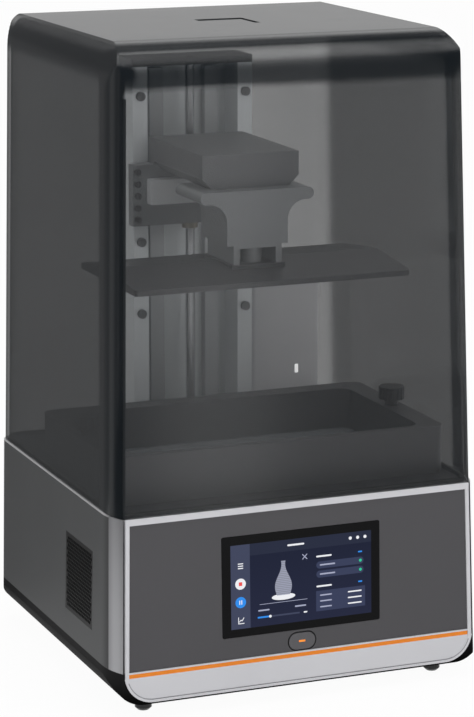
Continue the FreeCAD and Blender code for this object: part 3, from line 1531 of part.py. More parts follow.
faults = [item.Name for item in doc.Objects if {"Invalid", "Error"} & set(item.State)]
for name, item in nodes.items():
    if item.Shape.isNull() or not item.Shape.isValid() or not item.Shape.Solids:
        faults.append(name)
if faults:
    raise RuntimeError("failed: " + ", ".join(faults))

os.makedirs("parts", exist_ok=True)
for name, item in nodes.items():
    item.Shape.exportStep(f"parts/{name}.step")
print(len(nodes), "pieces")
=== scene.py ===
import math
import bmesh
import bpy
import numpy as np
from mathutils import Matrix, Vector


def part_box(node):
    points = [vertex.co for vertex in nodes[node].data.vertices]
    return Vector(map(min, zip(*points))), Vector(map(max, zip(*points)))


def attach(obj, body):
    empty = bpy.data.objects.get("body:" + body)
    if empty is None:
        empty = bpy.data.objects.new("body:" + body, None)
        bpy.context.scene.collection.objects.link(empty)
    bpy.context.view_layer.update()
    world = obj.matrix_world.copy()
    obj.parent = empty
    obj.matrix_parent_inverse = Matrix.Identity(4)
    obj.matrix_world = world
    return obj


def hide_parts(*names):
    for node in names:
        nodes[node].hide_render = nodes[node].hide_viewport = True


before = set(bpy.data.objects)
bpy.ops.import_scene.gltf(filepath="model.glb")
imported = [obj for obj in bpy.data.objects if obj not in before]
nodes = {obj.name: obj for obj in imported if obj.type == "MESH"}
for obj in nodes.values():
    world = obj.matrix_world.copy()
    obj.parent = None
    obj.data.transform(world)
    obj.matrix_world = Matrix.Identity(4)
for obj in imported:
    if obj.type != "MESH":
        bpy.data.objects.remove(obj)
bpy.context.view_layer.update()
print("frame loaded:", len(nodes), "solids")

scene = bpy.context.scene
scene.view_settings.view_transform = "Standard"
perMetre = 1000.0   # lengths are millimetres, except where a note says metres
plainWhite = (1.0, 1.0, 1.0, 1.0)


def tone(code):
    # a screen colour as a linear one
    part = np.array([int(code[i:i + 2], 16) for i in (1, 3, 5)]) / 255
    linear = np.where(part <= 0.04045, part / 12.92, ((part + 0.055) / 1.055) ** 2.4)
    return (*map(float, linear), 1.0)


def shaded(rgba, share):
    return (*(min(c * share, 1.0) for c in rgba[:3]), 1.0)


class Val:
    # one number that varies over a surface; an expression on it adds Math nodes
    def __init__(self, paint, socket):
        self.paint = paint
        self.socket = socket

    def step(self, name, *others):
        return self.paint.maths(name, self, *others)

    def __add__(self, other):
        return self.step("ADD", other)

    def __sub__(self, other):
        return self.step("SUBTRACT", other)

    def __rsub__(self, other):
        return self.paint.maths("SUBTRACT", other, self)

    def __mul__(self, other):
        return self.step("MULTIPLY", other)

    def __truediv__(self, other):
        return self.step("DIVIDE", other)

    def __rtruediv__(self, other):
        return self.paint.maths("DIVIDE", other, self)

    def __pow__(self, other):
        return self.step("POWER", other)

    def __mod__(self, other):
        return self.step("FLOORED_MODULO", other)

    def __lt__(self, other):
        return self.step("LESS_THAN", other)

    def __gt__(self, other):
        return self.step("GREATER_THAN", other)

    def __or__(self, other):
        return self.step("MAXIMUM", other)

    def __and__(self, other):
        return self.step("MINIMUM", other)

    def __abs__(self):
        return self.step("ABSOLUTE")

    __radd__ = __add__
    __rmul__ = __mul__


class Paint:
    # a material or the world, its nodes and the surface that ends it
    def __init__(self, name, end="ShaderNodeOutputMaterial"):
        home = bpy.data.materials if end == "ShaderNodeOutputMaterial" else bpy.data.worlds
        self.material = home.new(name)
        self.material.use_nodes = True
        self.tree = self.material.node_tree
        self.tree.nodes.clear()
        self.end = self.node(end)

    def node(self, kind, settings=None, sockets=None):
        made = self.tree.nodes.new(kind)
        for key, value in (settings or {}).items():
            setattr(made, key, value)
        for key, value in (sockets or {}).items():
            if isinstance(value, Val):
                self.tree.links.new(value.socket, made.inputs[key])
            elif isinstance(value, bpy.types.NodeSocket):
                self.tree.links.new(value, made.inputs[key])
            else:
                made.inputs[key].default_value = value
        return made

    def maths(self, name, *values):
        return Val(self, self.node("ShaderNodeMath", {"operation": name}, dict(enumerate(values))).outputs[0])

    def coords(self):
        return self.node("ShaderNodeTexCoord").outputs["Object"]

    def place(self):
        # the point's own x, y and z in the object's frame, in millimetres
        large = self.node("ShaderNodeVectorMath", {"operation": "SCALE"},
                          {0: self.coords(), "Scale": perMetre})
        split = self.node("ShaderNodeSeparateXYZ", None, {0: large.outputs[0]})
        return [Val(self, split.outputs[i]) for i in range(3)]

    def noise(self, scale, detail=2.0, stretch=(1, 1, 1)):
        # scale counts spots in a metre; a small number in stretch draws them out that way
        pulled = self.node("ShaderNodeMapping", None, {0: self.coords(), "Scale": stretch})
        made = self.node("ShaderNodeTexNoise", None, {
            "Vector": pulled.outputs[0], "Scale": scale, "Detail": detail})
        return Val(self, made.outputs[0])

    def cells(self, scale, **settings):
        made = self.node("ShaderNodeTexVoronoi", settings, {"Vector": self.coords(), "Scale": scale})
        return Val(self, made.outputs["Distance"])

    def ease(self, value, low, high):
        # 0 below low, 1 above high, smooth between
        made = self.node("ShaderNodeMapRange", {"interpolation_type": "SMOOTHSTEP"},
                         {0: value, 1: low, 2: high, 3: 0.0, 4: 1.0})
        return Val(self, made.outputs[0])

    def band(self, value, start, full, fade, end):
        # rises from start to full, falls from fade to end
        return self.ease(value, start, full) * (1.0 - self.ease(value, fade, end))

    def distance(self, across, up):
        return self.maths("SQRT", across * across + up * up)

    def rays(self, *names):
        # 1 for light-path rays of these kinds
        path = self.node("ShaderNodeLightPath")
        kinds = [Val(self, path.outputs[f"Is {name} Ray"]) for name in names]
        while len(kinds) > 1:
            kinds.append(kinds.pop(0) | kinds.pop(0))
        return kinds[0]

    def mix(self, factor, first, second):
        made = self.node("ShaderNodeMix", {"data_type": "RGBA"}, {0: factor, 6: first, 7: second})
        return made.outputs[2]

    def bump(self, height, depth, strength):
        # depth is in metres
        return self.node("ShaderNodeBump", None, {
            "Height": height, "Distance": depth, "Strength": strength}).outputs[0]

    def surface(self, **sockets):
        named = {key.replace("_", " "): value for key, value in sockets.items()}
        return self.node("ShaderNodeBsdfPrincipled", None, named).outputs[0]

    def light(self, kind, strength):
        return self.node(kind, None, {"Color": plainWhite, "Strength": strength}).outputs[0]

    def clear(self):
        return self.node("ShaderNodeBsdfTransparent").outputs[0]

    def either(self, factor, first, second):
        return self.node("ShaderNodeMixShader", None, {0: factor, 1: first, 2: second}).outputs[0]

    def close(self, shader):
        self.tree.links.new(shader, self.end.inputs["Surface"])
        return self.material


def dress(material, *names):
    # give CAD nodes their finish
    for name in names:
        for slot in nodes[name].material_slots:
            slot.material = material


# the hood's form, which its finish, its skin and the front's shading all follow
hood = {
    "half": 149.7, "front": -137.477, "back": 142.3,   # half width, front and back at the joint
    "lean": 0.023, "faceLean": 0.0338,                 # how far sides and front lean in per millimetre up
    "joint": 154.7, "top": 502.2,
    "inset": 1.2, "wall": 3.0,                         # the outer skin inside the base's outline, its wall
    "corner": 56.0, "step": 7.7, "rear": 16.0,         # front corner's radius, its crease's step, rear corner
    "shoulder": 64.0, "rise": 36.0,                    # radius over the sides, and its start below the top
    "brow": 37.9, "crown": 15.0,                       # radii over the front and the back
    "recess": (0.0, 11.0, 20.0, 1.3),                  # middle x and y, half size, depth
}


def faceAt(z):
    # where the leaning front face is at a height
    return hood["front"] + (z - hood["joint"]) * hood["faceLean"]


def halfAt(z):
    # half the width between the leaning sides at a height
    return hood["half"] - (z - hood["joint"]) * hood["lean"]


# moulded and painted skins
mouldings = {
    # colour, how much it varies, roughness, its spread, grain in a metre, its depth in metres, plain shine
    "shellGrey": ("#4e4f50", 0.06, 0.58, 0.05, 2600, 0.00004, 0.35),
    "panelDark": ("#4b4a4d", 0.05, 0.42, 0.05, 2600, 0.00003, 0.35),
    "frameSilver": ("#cfcfd3", 0.03, 0.34, 0.05, 3400, 0.00002, 0.35),
    "accentOrange": ("#ee861a", 0.04, 0.36, 0.04, 3000, 0.00002, 0.35),
    "buttonGrey": ("#565558", 0.05, 0.40, 0.05, 2600, 0.00003, 0.35),
    "ventBlack": ("#1b1b1c", 0.10, 0.50, 0.06, 2200, 0.00005, 0.35),
    "plasticBlack": ("#1d1d1e", 0.10, 0.45, 0.06, 2200, 0.00004, 0.35),
    "grilleDark": ("#1c1c1d", 0.10, 0.60, 0.06, 2200, 0.00004, 0.35),
    "capMatte": ("#232324", 0.10, 0.80, 0.06, 2200, 0.00004, 0.05),
    "purifierGrey": ("#c4c4c6", 0.05, 0.48, 0.05, 2400, 0.00004, 0.35),
    "sealRubber": ("#121213", 0.12, 0.72, 0.08, 1500, 0.00005, 0.35),
}
mouldings = {name: dict(zip(("colour", "vary", "rough", "spread", "grain", "depth", "shine"), row))
             for name, row in mouldings.items()}
mouldLook = {"cloud": 14.0, "cloudDetail": 3.0, "bump": 0.6}


def moulded(name):
    # slow tone change, fine grain in the gloss and the surface
    give = mouldings[name]
    paint = Paint(name)
    base = tone(give["colour"])
    cloud = paint.noise(mouldLook["cloud"], mouldLook["cloudDetail"])
    grain = paint.noise(give["grain"])
    colour = paint.mix(cloud, shaded(base, 1 - give["vary"]), shaded(base, 1 + give["vary"]))
    rough = give["rough"] + (cloud - 0.5) * give["spread"] + (grain - 0.5) * give["spread"]
    return paint.close(paint.surface(Base_Color=colour, Roughness=rough, Specular_IOR_Level=give["shine"],
                                     Normal=paint.bump(grain, give["depth"], mouldLook["bump"])))


# bare, anodised and plated metal
metals = {
    # colour, how metallic, roughness, stretch of its lines, lines in a metre, their depth in metres
    "anodisedBlack": ("#2c2c2e", 0.40, 0.42, (1, 1, 1), 2600, 0.00003),
    "anodisedGrey": ("#828486", 0.35, 0.44, (1, 1, 1), 2600, 0.00003),
    "blockAlloy": ("#dcdee0", 0.35, 0.40, (0.05, 1, 1), 1500, 0.00002),
    "columnAlloy": ("#a3a3a6", 0.75, 0.34, (1, 1, 0.02), 2400, 0.00001),
    "footMetal": ("#2b2b2c", 0.60, 0.28, (1, 1, 0.1), 1500, 0.00002),
    "armDark": ("#666769", 0.35, 0.46, (1, 1, 1), 2600, 0.00003),
    "railSteel": ("#a8abad", 0.35, 0.42, (1, 1, 0.02), 1600, 0.00001),
    "boltDark": ("#4c4d4f", 0.50, 0.38, (1, 1, 1), 2400, 0.00002),
    "towerAlloy": ("#d2d6d8", 0.25, 0.40, (1, 1, 0.012), 1300, 0.00002),
    "plateAlloy": ("#444446", 0.30, 0.44, (1, 1, 1), 2200, 0.00005),
    "groundSteel": ("#c4c6c8", 1.0, 0.22, (1, 1, 0.05), 1800, 0.00001),
    "nutBrass": ("#8d8676", 0.6, 0.34, (1, 1, 0.2), 1500, 0.00001),
    "finAlloy": ("#b9bcbf", 0.9, 0.36, (0.05, 1, 1), 1600, 0.00002),
    "vatAlloy": ("#4a4a4c", 0.35, 0.42, (1, 1, 1), 2400, 0.00004),
}
metals = {name: dict(zip(("colour", "metal", "rough", "stretch", "grain", "depth"), row))
          for name, row in metals.items()}
metalLook = {"dark": 0.90, "light": 1.08, "lineGloss": 0.14, "bump": 0.5,
             "smear": 22.0, "smearDetail": 3.0, "smearGloss": 0.10}


def metal(name):
    # brushed, ground or blasted: lines from noise pulled along one axis, and faint smears in the gloss
    give = metals[name]
    paint = Paint(name)
    base = tone(give["colour"])
    lines = paint.noise(give["grain"], stretch=give["stretch"])
    smear = paint.noise(metalLook["smear"], metalLook["smearDetail"])
    colour = paint.mix(lines, shaded(base, metalLook["dark"]), shaded(base, metalLook["light"]))
    rough = give["rough"] + (lines - 0.5) * metalLook["lineGloss"] + (smear - 0.5) * metalLook["smearGloss"]
    return paint.close(paint.surface(Base_Color=colour, Metallic=give["metal"], Roughness=rough,
                                     Normal=paint.bump(lines, give["depth"], metalLook["bump"])))


# which nodes have each plain finish
wears = {
    "grilleDark": ["vent_grille"],
    "accentOrange": ["accent_stripe"],
    "footMetal": ["feet"],
    "buttonGrey": ["power_button"],
    "ventBlack": ["vent_fan_frame", "vent_fan_rotor", "rear_panel"],
    "plasticBlack": ["cooling_fan_frame", "cooling_fan_rotor", "purifier_fan_frame", "purifier_fan_rotor",
                     "power_inlet", "switch_frame", "rocker", "usb_port",
                     "lcd_frame", "button_switch", "light_box"],
    "purifierGrey": ["purifier_housing"],
    "sealRubber": ["hood_seal"],
    "anodisedBlack": ["film_frame", "thumbscrew_left", "thumbscrew_right", "deck_plate", "z_motor"],
    "capMatte": ["tower_cap"],
    "armDark": ["arm"],
    "anodisedGrey": ["platform_bracket", "platform_neck", "carriage_plate", "leveling_ball"],
    "blockAlloy": ["arm_bar", "carriage_block"],
    "towerAlloy": ["tower_channel"],
    "plateAlloy": ["build_plate"],
    "railSteel": ["rails", "rail_blocks"],
    "boltDark": ["carriage_bolts", "tower_screws"],
    "groundSteel": ["lead_screw"],
    "nutBrass": ["lead_nut"],
    "finAlloy": ["heat_sink", "power_supply"],
    "vatAlloy": ["vat_body"],
}
finishes = {name: moulded(name) if name in mouldings else metal(name) for name in wears}
for name, pieces in wears.items():
    dress(finishes[name], *pieces)

pairLook = {"vary": 0.05, "grain": 2600.0, "lines": 2400.0, "pull": (1, 1, 0.02), "gloss": 0.06,
            "depth": 0.00003, "bump": 0.5, "shade": (0.004, 0.004, 0.004, 1.0)}


def twoTone(name, first, second, mask, shade=None, shine=0.3):
    # two finishes on one piece, told apart by a mask of the point's place; some masks paint a highlight
    # or shade, and shade paints darkening where the form turns away
    give = pairLook
    paint = Paint(name)
    place = paint.place()
    share = mask(paint, *place)
    grain = paint.noise(give["grain"])
    cloud = paint.noise(mouldLook["cloud"], mouldLook["cloudDetail"])
    lines = paint.noise(give["lines"], stretch=give["pull"])
    bases = [tone(finish["colour"]) for finish in (first, second)]
    tones = [paint.mix(cloud, shaded(base, 1 - give["vary"]), shaded(base, 1 + give["vary"]))
             for base in bases]
    colour = paint.mix(share, *tones)
    if shade:
        colour = paint.mix(shade(paint, *place), colour, give["shade"])
    rough = first["rough"] + (second["rough"] - first["rough"]) * share
    rough = rough + (grain - 0.5) * give["gloss"] + (lines - 0.5) * give["gloss"]
    metallic, other = [finish.get("metal", 0.0) for finish in (first, second)]
    if other != metallic:
        metallic = metallic + share * (other - metallic)
    return paint.close(paint.surface(Base_Color=colour, Roughness=rough, Metallic=metallic,
                                     Specular_IOR_Level=shine,
                                     Normal=paint.bump(grain, give["depth"], give["bump"])))


shell = {"edge": 1.0, "highlight": {"colour": "#c6c6c8", "rough": 0.3, "metal": 0.3},   # painted highlight along the top edge under the hood
         "turn": (17.0, 27.0), "turnShade": 0.40}                                  # painted shade behind the front face


def highlightEdge(paint, x, y, z):
    # painted highlight: the shell's top edge drawn lighter and more metallic
    return z > hood["joint"] - shell["edge"]


def shellPaintedShade(paint, x, y, z):
    # painted shade on the shell's side just behind the column
    return (1.0 - paint.ease(y - faceAt(z), *shell["turn"])) * shell["turnShade"]


# the ring's width, then where and how strongly painted shade falls on the column's arc
column = {"ring": 8.1, "side": (9.0, 17.0), "sideShade": 0.34, "crease": (0.5, 7.0), "creaseShade": 0.16}


def columnPart(paint, x, y, z):
    # outside the frame's ring: further out than the face's half width at that height
    return abs(x) > halfAt(z) - column["ring"]


def columnPaintedShade(paint, x, y, z):
    # painted shade on the column's arc: darker at the shell's side, lightest a third of the way in, darker
    # again at the crease
    deep = y - faceAt(z)
    side = paint.ease(deep, *column["side"]) * column["sideShade"]
    crease = (1.0 - paint.ease(deep, *column["crease"])) * column["creaseShade"]
    return (side + crease) * columnPart(paint, x, y, z)


button = {"half": 10.8, "radius": 6.5, "height": 45.4, "ring": 1.1,
          "groove": {"colour": "#0c0c0d", "rough": 0.7}}


def buttonRing(paint, x, y, z):
    # the button's opening and a dark groove round it: near enough to the button's middle line
    across = (abs(x) - (button["half"] - button["radius"])) | 0.0
    return paint.distance(across, z - button["height"]) < button["radius"] + button["ring"]


# the tray's upper colour, and the near-black colour that paints shade towards its bottom
tray = {"low": 12.0, "seam": 38.0, "upper": {"colour": "#1d1d1e", "rough": 0.60},
        "foot": {"colour": "#020202", "rough": 0.70}, "shine": 0.05}


def trayPaintedShade(paint, x, y, z):
    # painted shade: the tray darkens downwards from its seam
    return 1.0 - paint.ease(z, tray["low"], tray["seam"])


# the trim's rounded outline, and a darker line inside it painted as the shade of its raised rim
trim = {"across": 121.3, "up": 36.0, "radius": 22.9, "rim": 2.3, "line": 0.35, "below": 6.0, "strength": 0.8,
        "mark": {"colour": "#77777b", "rough": 0.4}}


def rimShadeLine(paint, x, y, z):
    # painted shade: a fine darker line inside the trim's edge, standing in for its raised rim; distance past
    # a rounded corner's middle, less the radius
    across = (abs(x) - trim["across"]) | 0.0
    down = (trim["up"] - z) | 0.0
    off = paint.distance(across, down) - (trim["radius"] - trim["rim"])
    return (abs(off) < trim["line"]) * (z < trim["up"] - trim["below"]) * trim["strength"]


silver = mouldings["frameSilver"]
# painted highlight on the shell's top edge, painted shade on its side behind the column
dress(twoTone("shellPaint", mouldings["shellGrey"], shell["highlight"], highlightEdge, shellPaintedShade), "base_shell")
# painted shade on the columns' arc
dress(twoTone("frameAndColumns", silver, metals["columnAlloy"], columnPart, columnPaintedShade), "front_frame")
# painted shade along the trim's raised rim
dress(twoTone("trimSilver", silver, trim["mark"], rimShadeLine), "lower_trim")
# painted shade darkening the tray towards its bottom
dress(twoTone("trayBlack", tray["upper"], tray["foot"], trayPaintedShade, shine=tray["shine"]), "bottom_tray")
dress(twoTone("panelDark", mouldings["panelDark"], button["groove"], buttonRing), "front_panel")
print("plain finishes on")

smoke = {
    "tint": "#13181c", "ior": 1.45, "rough": 0.15, "edgeRough": 0.5,
    "smudge": 40.0, "smudgeDetail": 3.0, "smudgeGloss": 0.03,
    "wave": 9.0, "waveDepth": 0.0004, "waveBump": 0.10,
    # share of the light that a face holds back, what a slant adds, and the painted shade or highlight at each
    # place
    "hold": 0.36, "least": 0.05, "most": 0.985, "slant": 0.70, "slantPower": 1.6,
    "corner": 0.55, "brow": 0.38, "line": 0.7, "shoulder": 0.34, "lid": 0.1, "paintedHighlight": 0.10,
    # where the painted shade and highlight fall: past the crease, behind the front face, below the top, in
    # degrees round the brow
    "creaseIn": 8.4, "creaseHalf": 0.7, "creaseBack": 6.0, "creaseBelow": 38.0,
    "cornerPast": (-0.5, 1.5), "cornerBack": (27.0, 40.0),
    "bendTurn": (3.0, 14.0, 24.0, 46.0), "lineTurn": (60.0, 65.0, 67.0, 72.0),
    "clearTurn": (34.0, 46.0, 50.0, 60.0),
    "shoulderOut": (121.0, 129.0), "shoulderBelow": (5.0, 15.0, 18.0, 32.0), "lidBelow": (1.5, 2.0),
    "dipMargin": 0.5, "dipTop": 0.1, "dipFloor": 0.05,
}


def smokedHood():
    # dark clear plastic: each face holds back part of what comes through it, more when seen aslant.
    # Painted shade holds back more in the front corners, brow bands, shoulders, top, recess and creases,
    # and a painted highlight lets more through on the brow
    give = smoke
    paint = Paint("smokedHood")
    x, y, z = paint.place()
    slant = Val(paint, paint.node("ShaderNodeLayerWeight", None, {"Blend": 0.5}).outputs["Facing"])
    past = abs(x) - (halfAt(z) - give["creaseIn"])
    back = y - (faceAt(z) + hood["inset"])
    level = hood["top"] - hood["brow"]
    middle = faceAt(level) + hood["inset"] + hood["brow"]
    turn = paint.maths("ARCTAN2", z - level, middle - y) * math.degrees(1.0)
    below = hood["top"] - z
    # painted shade masks: front corners, the brow's dark band and line, shoulders, creases, top and recess;
    # painted highlight on the brow
    corner = paint.ease(past, *give["cornerPast"]) * (1.0 - paint.ease(back, *give["cornerBack"]))
    browDarkBand = paint.band(turn, *give["bendTurn"])
    line = paint.band(turn, *give["lineTurn"]) * give["line"]
    paintedHighlight = paint.band(turn, *give["clearTurn"])
    shoulder = paint.ease(abs(x), *give["shoulderOut"]) * paint.band(below, *give["shoulderBelow"])
    crease = (abs(past) < give["creaseHalf"]) * (back < give["creaseBack"]) * (below > give["creaseBelow"])
    lid = 1.0 - paint.ease(below, *give["lidBelow"])
    px, py, size, depth = hood["recess"]
    reach = size + give["dipMargin"]
    dip = (abs(x - px) < reach) * (abs(y - py) < reach)
    dip = dip * (below > give["dipTop"]) * (below < depth - give["dipFloor"])
    # the painted shade added up, less the painted highlight
    paintedShadeAndHighlight = give["corner"] * corner + give["brow"] * (browDarkBand | line) + give["shoulder"] * shoulder
    paintedShadeAndHighlight = paintedShadeAndHighlight + lid * give["lid"] - paintedHighlight * give["paintedHighlight"]
    hold = give["hold"] + give["slant"] * slant ** give["slantPower"] + paintedShadeAndHighlight + crease + dip
    smudge = paint.noise(give["smudge"], give["smudgeDetail"])
    gloss = paint.surface(
        Base_Color=tone(give["tint"]), IOR=give["ior"], Alpha=(hold & give["most"]) | give["least"],
        Roughness=give["rough"] + (smudge - 0.5) * give["smudgeGloss"] + (crease | dip) * give["edgeRough"],
        Normal=paint.bump(paint.noise(give["wave"]), give["waveDepth"], give["waveBump"]))
    return paint.close(paint.either(paint.rays("Shadow", "Diffuse", "Glossy"), gloss, paint.clear()))


hoodSmoked = smokedHood()

display = {
    "low": 60.9, "high": 126.1, "half": 58.0, "face": -130.0,   # lit area, and the y that it lies forward of
    "ground": "#121931", "groundLow": "#1d223b", "head": "#22283d", "bar": "#3e445c", "row": "#363d59",
    "white": "#f2f3f8", "pale": "#a9adc6", "blue": "#2f8ff0", "red": "#f0504e", "green": "#2ecc9a",
    "grey": "#8c8f9d", "glow": 0.95, "dark": (0.0, 0.0, 0.0, 1.0), "panel": (0.004, 0.004, 0.005, 1.0),
    "cover": "#070709", "coverRough": 0.07, "smudge": 30.0, "smudgeDetail": 3.0, "smudgeGloss": 0.05,
    # the turned vase: places as shares of the lit area, half width, swell and taper in millimetres
    "vase": {"across": 0.37, "foot": 0.34, "middle": 0.55, "reach": 0.205, "half": 5.2, "swell": 2.2,
             "taper": 4.0, "ripple": 13.0, "ribs": 46.0, "ribShare": 0.28},
    # from back to front: form, colour and numbers, with places as shares of the lit area.
    # panel: left, right, low, high. pill: left, right, level, height. disc: across, up, radius, flatness.
    # stroke: both ends and half its width
    "layout": [
        ("panel", "bar", (0.0, 0.135, 0.0, 1.0)),
        ("panel", "head", (0.135, 1.0, 0.86, 1.0)),
        ("pill", "white", (0.050, 0.088, 0.775, 0.012)),
        ("pill", "white", (0.050, 0.088, 0.748, 0.012)),
        ("pill", "white", (0.050, 0.088, 0.721, 0.012)),
        ("disc", "white", (0.068, 0.535, 4.3)),
        ("panel", "red", (0.056, 0.080, 0.513, 0.557)),
        ("disc", "blue", (0.068, 0.315, 4.3)),
        ("panel", "white", (0.058, 0.064, 0.29, 0.34)),
        ("panel", "white", (0.072, 0.078, 0.29, 0.34)),
        ("panel", "white", (0.049, 0.054, 0.058, 0.140)),
        ("panel", "white", (0.049, 0.092, 0.058, 0.068)),
        ("stroke", "white", ((0.058, 0.085), (0.068, 0.105), 0.30)),
        ("stroke", "white", ((0.068, 0.105), (0.076, 0.095), 0.30)),
        ("stroke", "white", ((0.076, 0.095), (0.089, 0.130), 0.30)),
        ("pill", "white", (0.40, 0.52, 0.93, 0.022)),
        ("disc", "white", (0.850, 0.93, 1.3)),
        ("disc", "white", (0.903, 0.93, 1.3)),
        ("disc", "white", (0.956, 0.93, 1.3)),
        ("disc", "white", (0.37, 0.325, 9.6, 0.26)),
        ("vase", "grey", ()),
        ("ribs", "pale", ()),
        ("pill", "pale", (0.20, 0.54, 0.262, 0.006)),
        ("pill", "pale", (0.19, 0.27, 0.19, 0.018)),
        ("pill", "pale", (0.45, 0.53, 0.19, 0.018)),
        ("pill", "bar", (0.185, 0.485, 0.108, 0.020)),
        ("pill", "blue", (0.185, 0.275, 0.108, 0.020)),
        ("disc", "white", (0.275, 0.108, 1.1)),
        ("pill", "white", (0.512, 0.538, 0.108, 0.018)),
        ("stroke", "pale", ((0.508, 0.745), (0.538, 0.800), 0.35)),
        ("stroke", "pale", ((0.508, 0.800), (0.538, 0.745), 0.35)),
        ("pill", "white", (0.605, 0.715, 0.755, 0.020)),
        ("pill", "blue", (0.905, 0.935, 0.755, 0.018)),
        ("pill", "row", (0.605, 0.945, 0.65, 0.085)),
        ("pill", "pale", (0.63, 0.74, 0.65, 0.018)),
        ("disc", "green", (0.922, 0.65, 1.15)),
        ("pill", "row", (0.605, 0.945, 0.54, 0.085)),
        ("pill", "pale", (0.63, 0.74, 0.54, 0.018)),
        ("disc", "green", (0.922, 0.54, 1.15)),
        ("pill", "white", (0.605, 0.715, 0.395, 0.020)),
        ("pill", "blue", (0.905, 0.935, 0.395, 0.018)),
        ("panel", "row", (0.602, 0.955, 0.095, 0.34)),
        ("pill", "pale", (0.63, 0.715, 0.285, 0.016)),
        ("pill", "white", (0.83, 0.93, 0.285, 0.016)),
        ("pill", "pale", (0.63, 0.715, 0.215, 0.016)),
        ("pill", "white", (0.83, 0.93, 0.215, 0.016)),
        ("pill", "pale", (0.63, 0.715, 0.145, 0.016)),
        ("pill", "white", (0.83, 0.93, 0.145, 0.016)),
    ],
}


def picture(paint):
    # flat panels, buttons and bars laid over each other, each one a mask times its colour
    x, y, z = paint.place()
    wide = 2 * display["half"]
    tall = display["high"] - display["low"]
    u = (x + display["half"]) / wide
    v = (z - display["low"]) / tall

    def panel(left, right, low, high):
        across = abs(u - (left + right) / 2) < (right - left) / 2
        return across * (abs(v - (low + high) / 2) < (high - low) / 2)

    def pill(left, right, level, height):
        # a bar with round ends: distance from its middle line
        reach = height * tall / 2
        half = max((right - left) * wide / 2 - reach, 0.01)
        across = (abs((u - (left + right) / 2) * wide) - half) | 0.0
        off = (v - level) * tall
        return (across * across + off * off) < reach * reach

    def disc(atU, atV, radius, flat=1.0):
        along = (u - atU) * wide
        off = (v - atV) * (tall / flat)
        return (along * along + off * off) < radius * radius

    def stroke(first, last, reach):
        # a line with round ends: distance from the nearest point between its two ends
        run, climb = (last[0] - first[0]) * wide, (last[1] - first[1]) * tall
        along, off = (u - first[0]) * wide, (v - first[1]) * tall
        share = ((along * run + off * climb) / (run * run + climb * climb) | 0.0) & 1.0
        sideways, upward = along - share * run, off - share * climb
        return (sideways * sideways + upward * upward) < reach * reach

    def vase():
        # half width over height: a sine wave on a straight taper
        give = display["vase"]
        up = v - give["foot"]
        wall = give["half"] + paint.maths("SINE", up * give["ripple"]) * give["swell"] - up * give["taper"]
        return (abs((u - give["across"]) * wide) < wall) * (abs(v - give["middle"]) < give["reach"])

    def ribs():
        give = display["vase"]
        return vase() * (((v * give["ribs"]) % 1.0) < give["ribShare"])

    forms = {"panel": panel, "pill": pill, "disc": disc, "stroke": stroke, "vase": vase, "ribs": ribs}
    colour = paint.mix(v, tone(display["groundLow"]), tone(display["ground"]))
    for form, name, numbers in display["layout"]:
        colour = paint.mix(forms[form](*numbers), colour, tone(display[name]))
    lit = panel(0.0, 1.0, 0.0, 1.0) * (y < display["face"])
    return paint.mix(lit, display["dark"], colour)


def litDisplay():
    # the panel behind the cover
    paint = Paint("litDisplay")
    return paint.close(paint.surface(Base_Color=display["panel"], Roughness=0.25,
                                     Emission_Color=picture(paint), Emission_Strength=display["glow"]))


def screenCover():
    # black glass bonded to the panel, so that the picture shows at its face
    paint = Paint("screenCover")
    smudge = paint.noise(display["smudge"], display["smudgeDetail"])
    return paint.close(paint.surface(Base_Color=tone(display["cover"]), IOR=1.2,
                                     Roughness=display["coverRough"] + smudge * display["smudgeGloss"],
                                     Emission_Color=picture(paint), Emission_Strength=display["glow"]))


dress(litDisplay(), "touch_display")
dress(screenCover(), "screen_glass")
print("hood and screen on")

lcd = {"pitch": 0.6, "line": 0.08, "cell": "#0d0e12", "gap": "#15171e", "rough": 0.08, "gapRough": 0.06}


def lcdGlass():
    # masking panel: deep blue-black with a fine square grid in its gloss
    paint = Paint("lcdGlass")
    x, y = paint.place()[:2]
    grid = ((x % lcd["pitch"]) < lcd["line"]) | ((y % lcd["pitch"]) < lcd["line"])
    colour = paint.mix(grid, tone(lcd["cell"]), tone(lcd["gap"]))
    return paint.close(paint.surface(Base_Color=colour, Roughness=lcd["rough"] + grid * lcd["gapRough"],
                                     IOR=1.5, Coat_Weight=0.4, Coat_Roughness=0.04))


# lens sheet and emitters share one square pitch
emitters = {"pitch": 14.0, "half": 1.8, "board": "#d9dbd8", "chip": "#e2c64f", "rough": 0.5, "chipGloss": 0.2,
            "lensLow": "#b9c3cc", "lensHigh": "#e8eef2", "lensDepth": 0.002, "lensBump": 0.8}


def fromMiddle(value):
    # distance from the middle of a pitch
    return (value % emitters["pitch"]) - emitters["pitch"] / 2


def lensPlate():
    # clear lens sheet: round domes on the pitch
    paint = Paint("lensPlate")
    across, along = [fromMiddle(value) / (emitters["pitch"] / 2) for value in paint.place()[:2]]
    dome = (1.0 - (across * across + along * along)) | 0.0
    colour = paint.mix(dome, tone(emitters["lensLow"]), tone(emitters["lensHigh"]))
    return paint.close(paint.surface(Base_Color=colour, Roughness=0.12, IOR=1.49, Alpha=0.45,
                                     Normal=paint.bump(dome, emitters["lensDepth"], emitters["lensBump"])))


def ledBoard():
    # white-masked board with square emitters on the pitch
    paint = Paint("ledBoard")
    x, y = paint.place()[:2]
    spot = (abs(fromMiddle(x)) < emitters["half"]) * (abs(fromMiddle(y)) < emitters["half"])
    colour = paint.mix(spot, tone(emitters["board"]), tone(emitters["chip"]))
    rough = emitters["rough"] - spot * emitters["chipGloss"]
    return paint.close(paint.surface(Base_Color=colour, Roughness=rough))


film = {"colour": "#d7dde2", "lines": 60.0, "pull": (1, 0.15, 1), "rough": 0.10, "lineRough": 0.08,
        "depth": 0.0003, "bump": 0.3}


